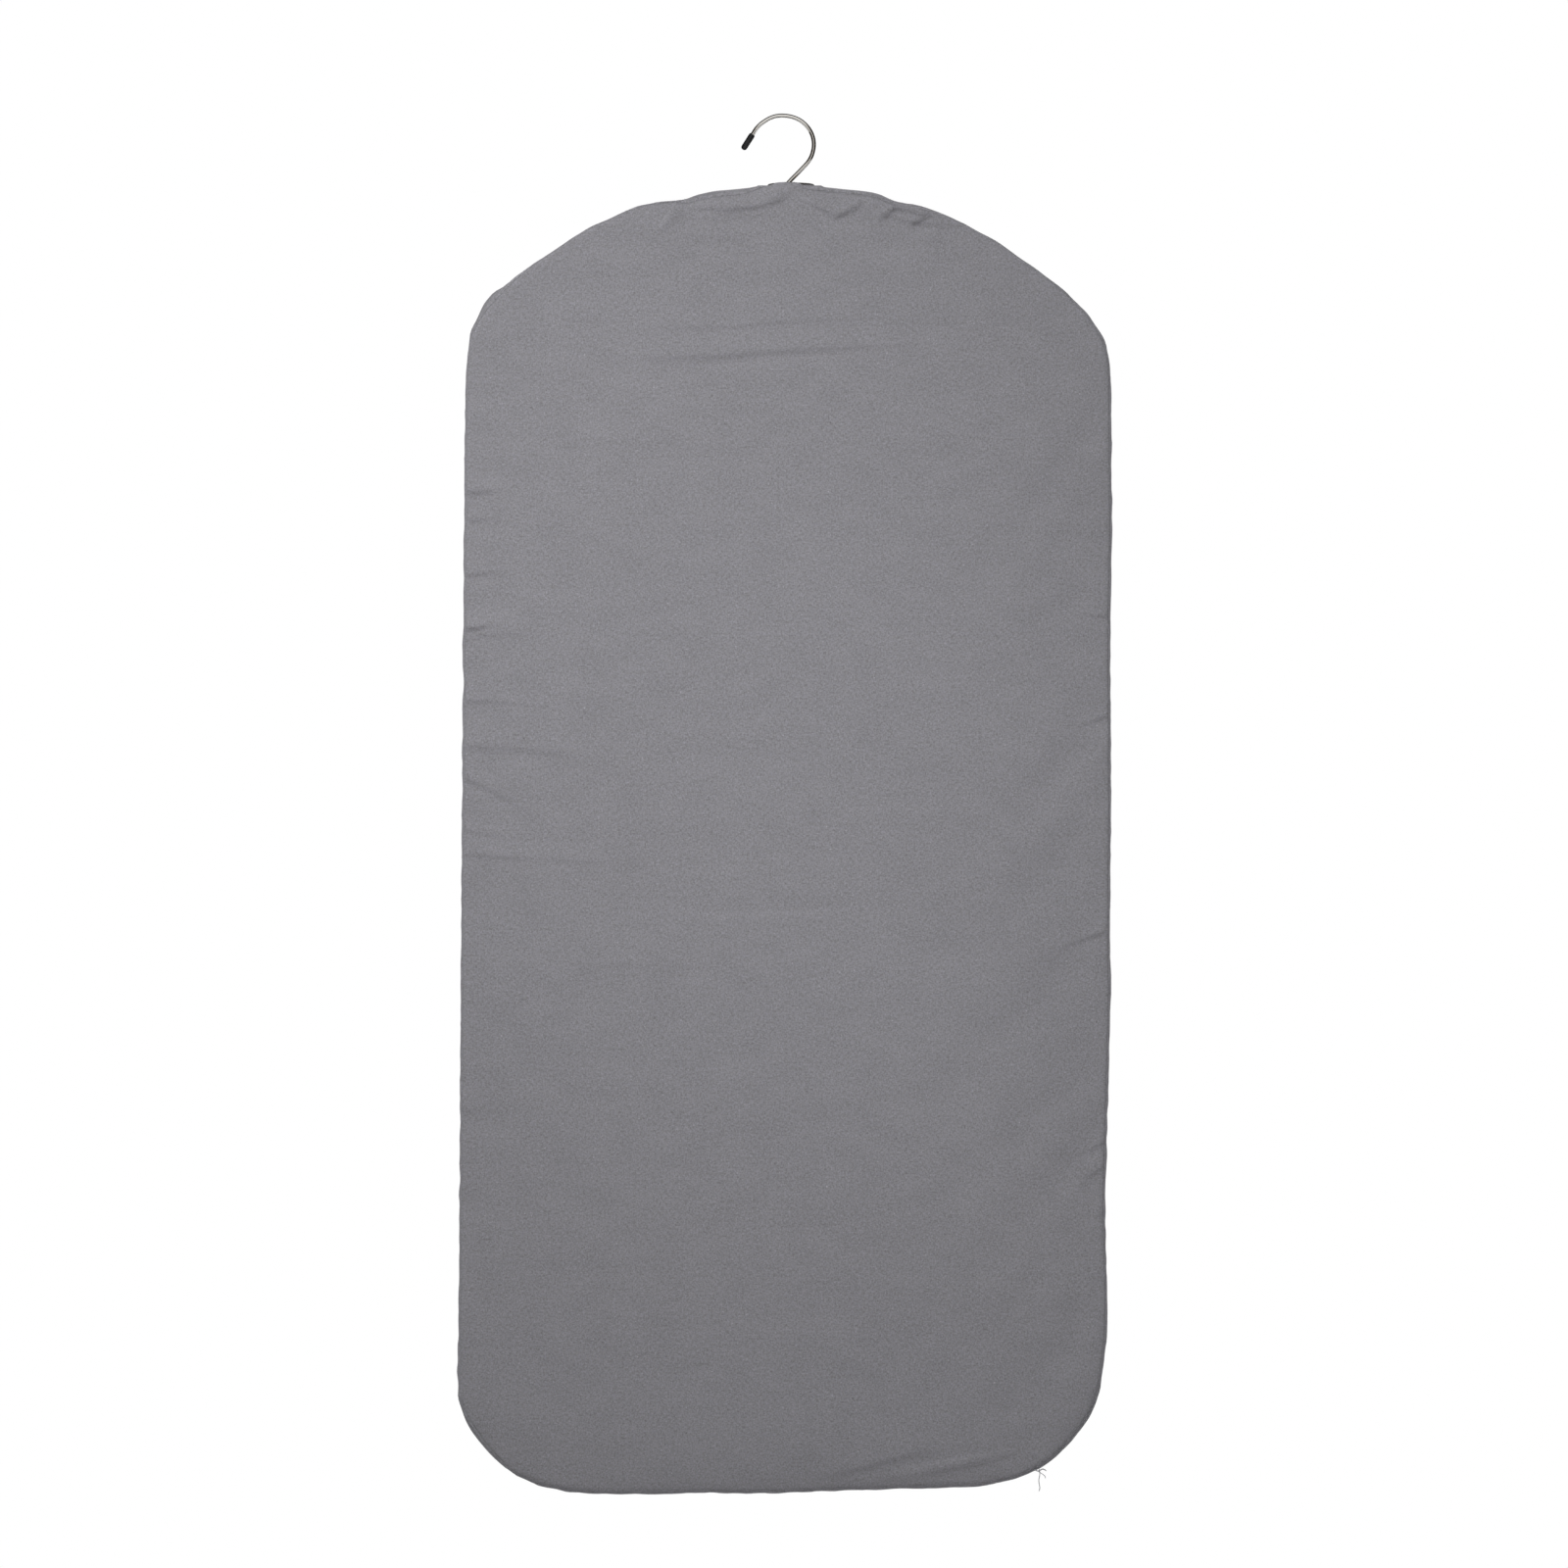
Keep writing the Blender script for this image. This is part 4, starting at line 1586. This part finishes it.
def hanger_arm(side, sign):
    stations = catmull(ARM, 6)
    ring, verts = 36, []
    for x, top, height, half_depth in stations:
        for k in range(ring):
            a = 2 * math.pi * (k + 0.5) / ring
            z = top - height / 2 + height / 2 * squircle(math.sin(a))
            verts.append((sign * x, half_depth * squircle(math.cos(a)), z))
    obj = mesh_object(f"hanger_arm_{side}_wood", verts, loft_faces(len(stations), ring),
                      outward=True)
    stem = upright_cutter(radius=2.2, low=-140, high=-60)
    washer = upright_cutter(radius=6.4, low=-140, high=-93.8)
    drilled(obj, [stem, washer, bar_cutter(radius=5.8, reach=192.3)])
    bevel(obj, 0.5, segments=2, angle=40)
    dress(obj, "wood", "hanger", f"hanger_arm_{side}")


def trouser_bar():
    """A turned bar with fine grooves along most of its length."""
    groove_pitch, groove_depth = 2.5, 0.16
    places, radii = [], []
    for x in np.linspace(-BAR_END, BAR_END, 620):
        from_end = min(BAR_END - abs(x), 3.0)
        groove = groove_depth * (0.5 + 0.5 * math.cos(2 * math.pi * x / groove_pitch))
        groove *= float(band(x, -165, 165, 3))
        places.append((x, 0, BAR_Z))
        radii.append(5.45 - groove - 0.9 * (1 - from_end / 3.0) ** 2)
    dress(tube("trouser_bar_turned", places, radii, 28), "wood", "hanger", "trouser_bar")


for side, sign in SIDES:
    hanger_arm(side, sign)
trouser_bar()
for node, material in (("hook_collar", "hook_chrome"), ("hook_washer", "fastener_steel")):
    paint(NODES[node], material)
    bevel(NODES[node], 0.15, segments=2, angle=30)

# ---------------------------------------------------------------- loose threads, lower right
# Radius, then stations: x, z as the camera sees them in the plane y = 0, and the real y.
LOOSE_THREADS = [
    (0.35, [(216.2176, -1162.08514, -20), (219.596, -1164.61894, -21.5),
            (220.4406, -1168.84194, -22), (219.596, -1174.75414, -22),
            (220.4406, -1180.66634, -21), (219.596, -1184.04474, -20)]),
    (0.5, [(213.6838, -1163.77434, -20), (218.7514, -1166.30814, -22.5),
           (222.9744, -1164.61894, -22.5), (226.3528, -1166.30814, -21)]),
    (0.3, [(217.0622, -1165.46354, -20), (221.2852, -1167.99734, -22.5),
           (224.6636, -1170.53114, -22), (225.5082, -1173.06494, -21)]),
]


def loose_thread(name, stations, radius):
    stations = np.array(stations)
    y = stations[:, 2]
    x, z = unproject(stations[:, :2], y).T
    line = catmull(np.stack([x, y, z], 1), 6)
    last = len(line) - 1
    radii = np.interp(np.arange(len(line)), [0, 3, last - 3, last],
                      [radius * 0.7, radius, radius, radius * 0.25])
    obj = tube(name, line, radii, 8)
    weave_attribute(obj, np.array([v.co for v in obj.data.vertices]))
    dress(obj, "cloth", "bag", material="thread")


for number, (radius, stations) in enumerate(LOOSE_THREADS, 1):
    loose_thread(f"loose_thread_{number}", stations, radius)


# ---------------------------------------------------------------- stage, light, camera
def floor():
    """A wide pale disc well under the bag, which fades into the white of the room at its rim."""
    sides, rings, radius, level = 96, 14, 4100, -1750.0
    verts = [(0, 0, level)]
    for i in range(1, rings + 1):
        for k in range(sides):
            a = 2 * math.pi * k / sides
            verts.append((radius * i / rings * math.cos(a), radius * i / rings * math.sin(a),
                          level))
    faces = [(0, 1 + k, 1 + (k + 1) % sides) for k in range(sides)]
    for i in range(rings - 1):
        for k in range(sides):
            a, b = 1 + i * sides + k, 1 + i * sides + (k + 1) % sides
            faces.append((a, a + sides, b + sides, b))
    obj = mesh_object("floor", verts, faces)
    g = Surface("floor_pale")
    at = g.object_place()
    mottle = g.noise(at, scale=3.0, detail=3.0)
    g.set({"Base Color": g.ramp(mottle, [(0.3, (0.80, 0.80, 0.80)), (0.7, (0.84, 0.84, 0.84))]),
           "Roughness": 0.8})
    glow = g.node("ShaderNodeEmission", Color=(1, 1, 1, 1))
    distance = g.node("ShaderNodeVectorMath")
    distance.operation = "LENGTH"
    g.feed(distance.inputs[0], at)
    fade_start, fade_width = 2.4, 1.5  # metres from the middle
    fade = g.math("DIVIDE", g.math("SUBTRACT", distance.outputs["Value"], fade_start), fade_width,
                  clamp=True)
    # the floor looks evenly pale to the camera and still takes a shadow
    seen = g.node("ShaderNodeLightPath").outputs["Is Camera Ray"]
    share = g.math("MAXIMUM", fade, g.math("MULTIPLY", seen, 0.72))
    g.feed(g.output.inputs["Surface"],
           g.mix_shader(share, g.bsdf.outputs["BSDF"], glow.outputs[0]))
    obj.data.materials.append(g.material)


def room():
    """White to the camera, soft light on the cloth, and screens for the metal to mirror."""
    strength, front_light, top_light, base_light = 1.5, 0.20, 0.05, 0.05
    world = bpy.data.worlds.new("room")
    bpy.context.scene.world = world
    world.use_nodes = True
    g = Graph(world.node_tree)
    output = g.node("ShaderNodeOutputWorld")
    ray = g.node("ShaderNodeLightPath")
    white = g.node("ShaderNodeBackground", Strength=1.0, Color=(1, 1, 1, 1))
    lit = g.node("ShaderNodeBackground", Strength=1.0)
    place = g.separate(g.node("ShaderNodeTexCoord").outputs["Generated"])
    # diffuse light: a little brighter in front and overhead
    front = g.math("MULTIPLY", g.math("SUBTRACT", 1.0, place[1]), 0.5)
    front = g.math("POWER", front, 2.0)
    above = g.math("MULTIPLY", g.math("ADD", place[2], 1.0), 0.5)
    value = g.math("ADD", g.math("MULTIPLY", front, front_light),
                   g.math("MULTIPLY", above, top_light))
    value = g.math("MULTIPLY", g.math("ADD", value, base_light), strength)
    grey = g.node("ShaderNodeCombineColor", Red=value, Green=value, Blue=value)
    # polished metal shows bright screens in front and behind, and a dark room at the sides
    facing = g.scaled(place[1], scale=-0.5, offset=0.5)
    overhead = g.math("SUBTRACT", place[2], 0.30, clamp=True)
    overhead = g.math("MULTIPLY", g.math("MULTIPLY", overhead, 3.0, clamp=True), 0.20)
    screens = g.ramp(g.math("ADD", facing, overhead, clamp=True), [
        (0.0, (0.62, 0.60, 0.58)), (0.035, (0.34, 0.33, 0.32)), (0.055, (0.012, 0.009, 0.007)),
        (0.945, (0.020, 0.015, 0.011)), (0.985, (0.50, 0.48, 0.45)), (1.0, (0.9, 0.9, 0.9))])
    g.feed(lit.inputs["Color"],
           g.mix_colour(ray.outputs["Is Glossy Ray"], grey.outputs[0], screens))
    g.feed(output.inputs["Surface"],
           g.mix_shader(ray.outputs["Is Camera Ray"], lit.outputs[0], white.outputs[0]))


def area(name, at, target, size, power, spread=180):
    """A square light, in metres, watts and degrees, that mirrors don't show."""
    light = bpy.data.lights.new(name, "AREA")
    light.shape = "RECTANGLE"
    light.size = light.size_y = size
    light.energy = power
    light.spread = math.radians(spread)
    obj = bpy.data.objects.new(name, light)
    bpy.context.scene.collection.objects.link(obj)
    obj.location = at
    obj.rotation_euler = (Vector(target) - Vector(at)).to_track_quat("-Z", "Y").to_euler()
    obj.visible_glossy = False


def camera():
    data = bpy.data.cameras.new("camera")
    data.type = "PERSP"
    data.sensor_width = 36.0
    data.lens = 36.0 * CAMERA_DISTANCE / FRAME_WIDTH
    data.clip_start, data.clip_end = 0.1, 60
    obj = bpy.data.objects.new("camera", data)
    bpy.context.scene.collection.objects.link(obj)
    obj.location = (0, -CAMERA_DISTANCE * MM, CAMERA_Z * MM)
    obj.rotation_euler = (math.pi / 2, 0, 0)
    bpy.context.scene.camera = obj


floor()
room()
# the key slants down, so it models the creases
area("key", at=(-0.9, -1.9, 1.05), target=(-0.05, 0, -0.5), size=0.5, power=4.9, spread=60)
area("front_low", at=(0.1, -1.8, -0.3), target=(0.05, 0, -0.8), size=0.4, power=0.52, spread=60)
area("left", at=(-1.3, -1.4, 0.3), target=(-0.1, 0, -0.5), size=0.6, power=0.3, spread=90)
area("back_key", at=(0.9, 1.8, 0.85), target=(0, 0, -0.6), size=0.5, power=27)
area("back_fill", at=(-1.2, 2.3, 0.0), target=(0, 0, -0.6), size=1.2, power=7)
area("side_right", at=(2.2, 0.45, 0.8), target=(0, 0, -0.5), size=0.6, power=8)
area("side_left", at=(-2.2, 0.45, 0.8), target=(0, 0, -0.5), size=0.6, power=8)
camera()
bpy.context.scene.view_settings.view_transform = "Standard"
bpy.context.scene.view_settings.look = "None"
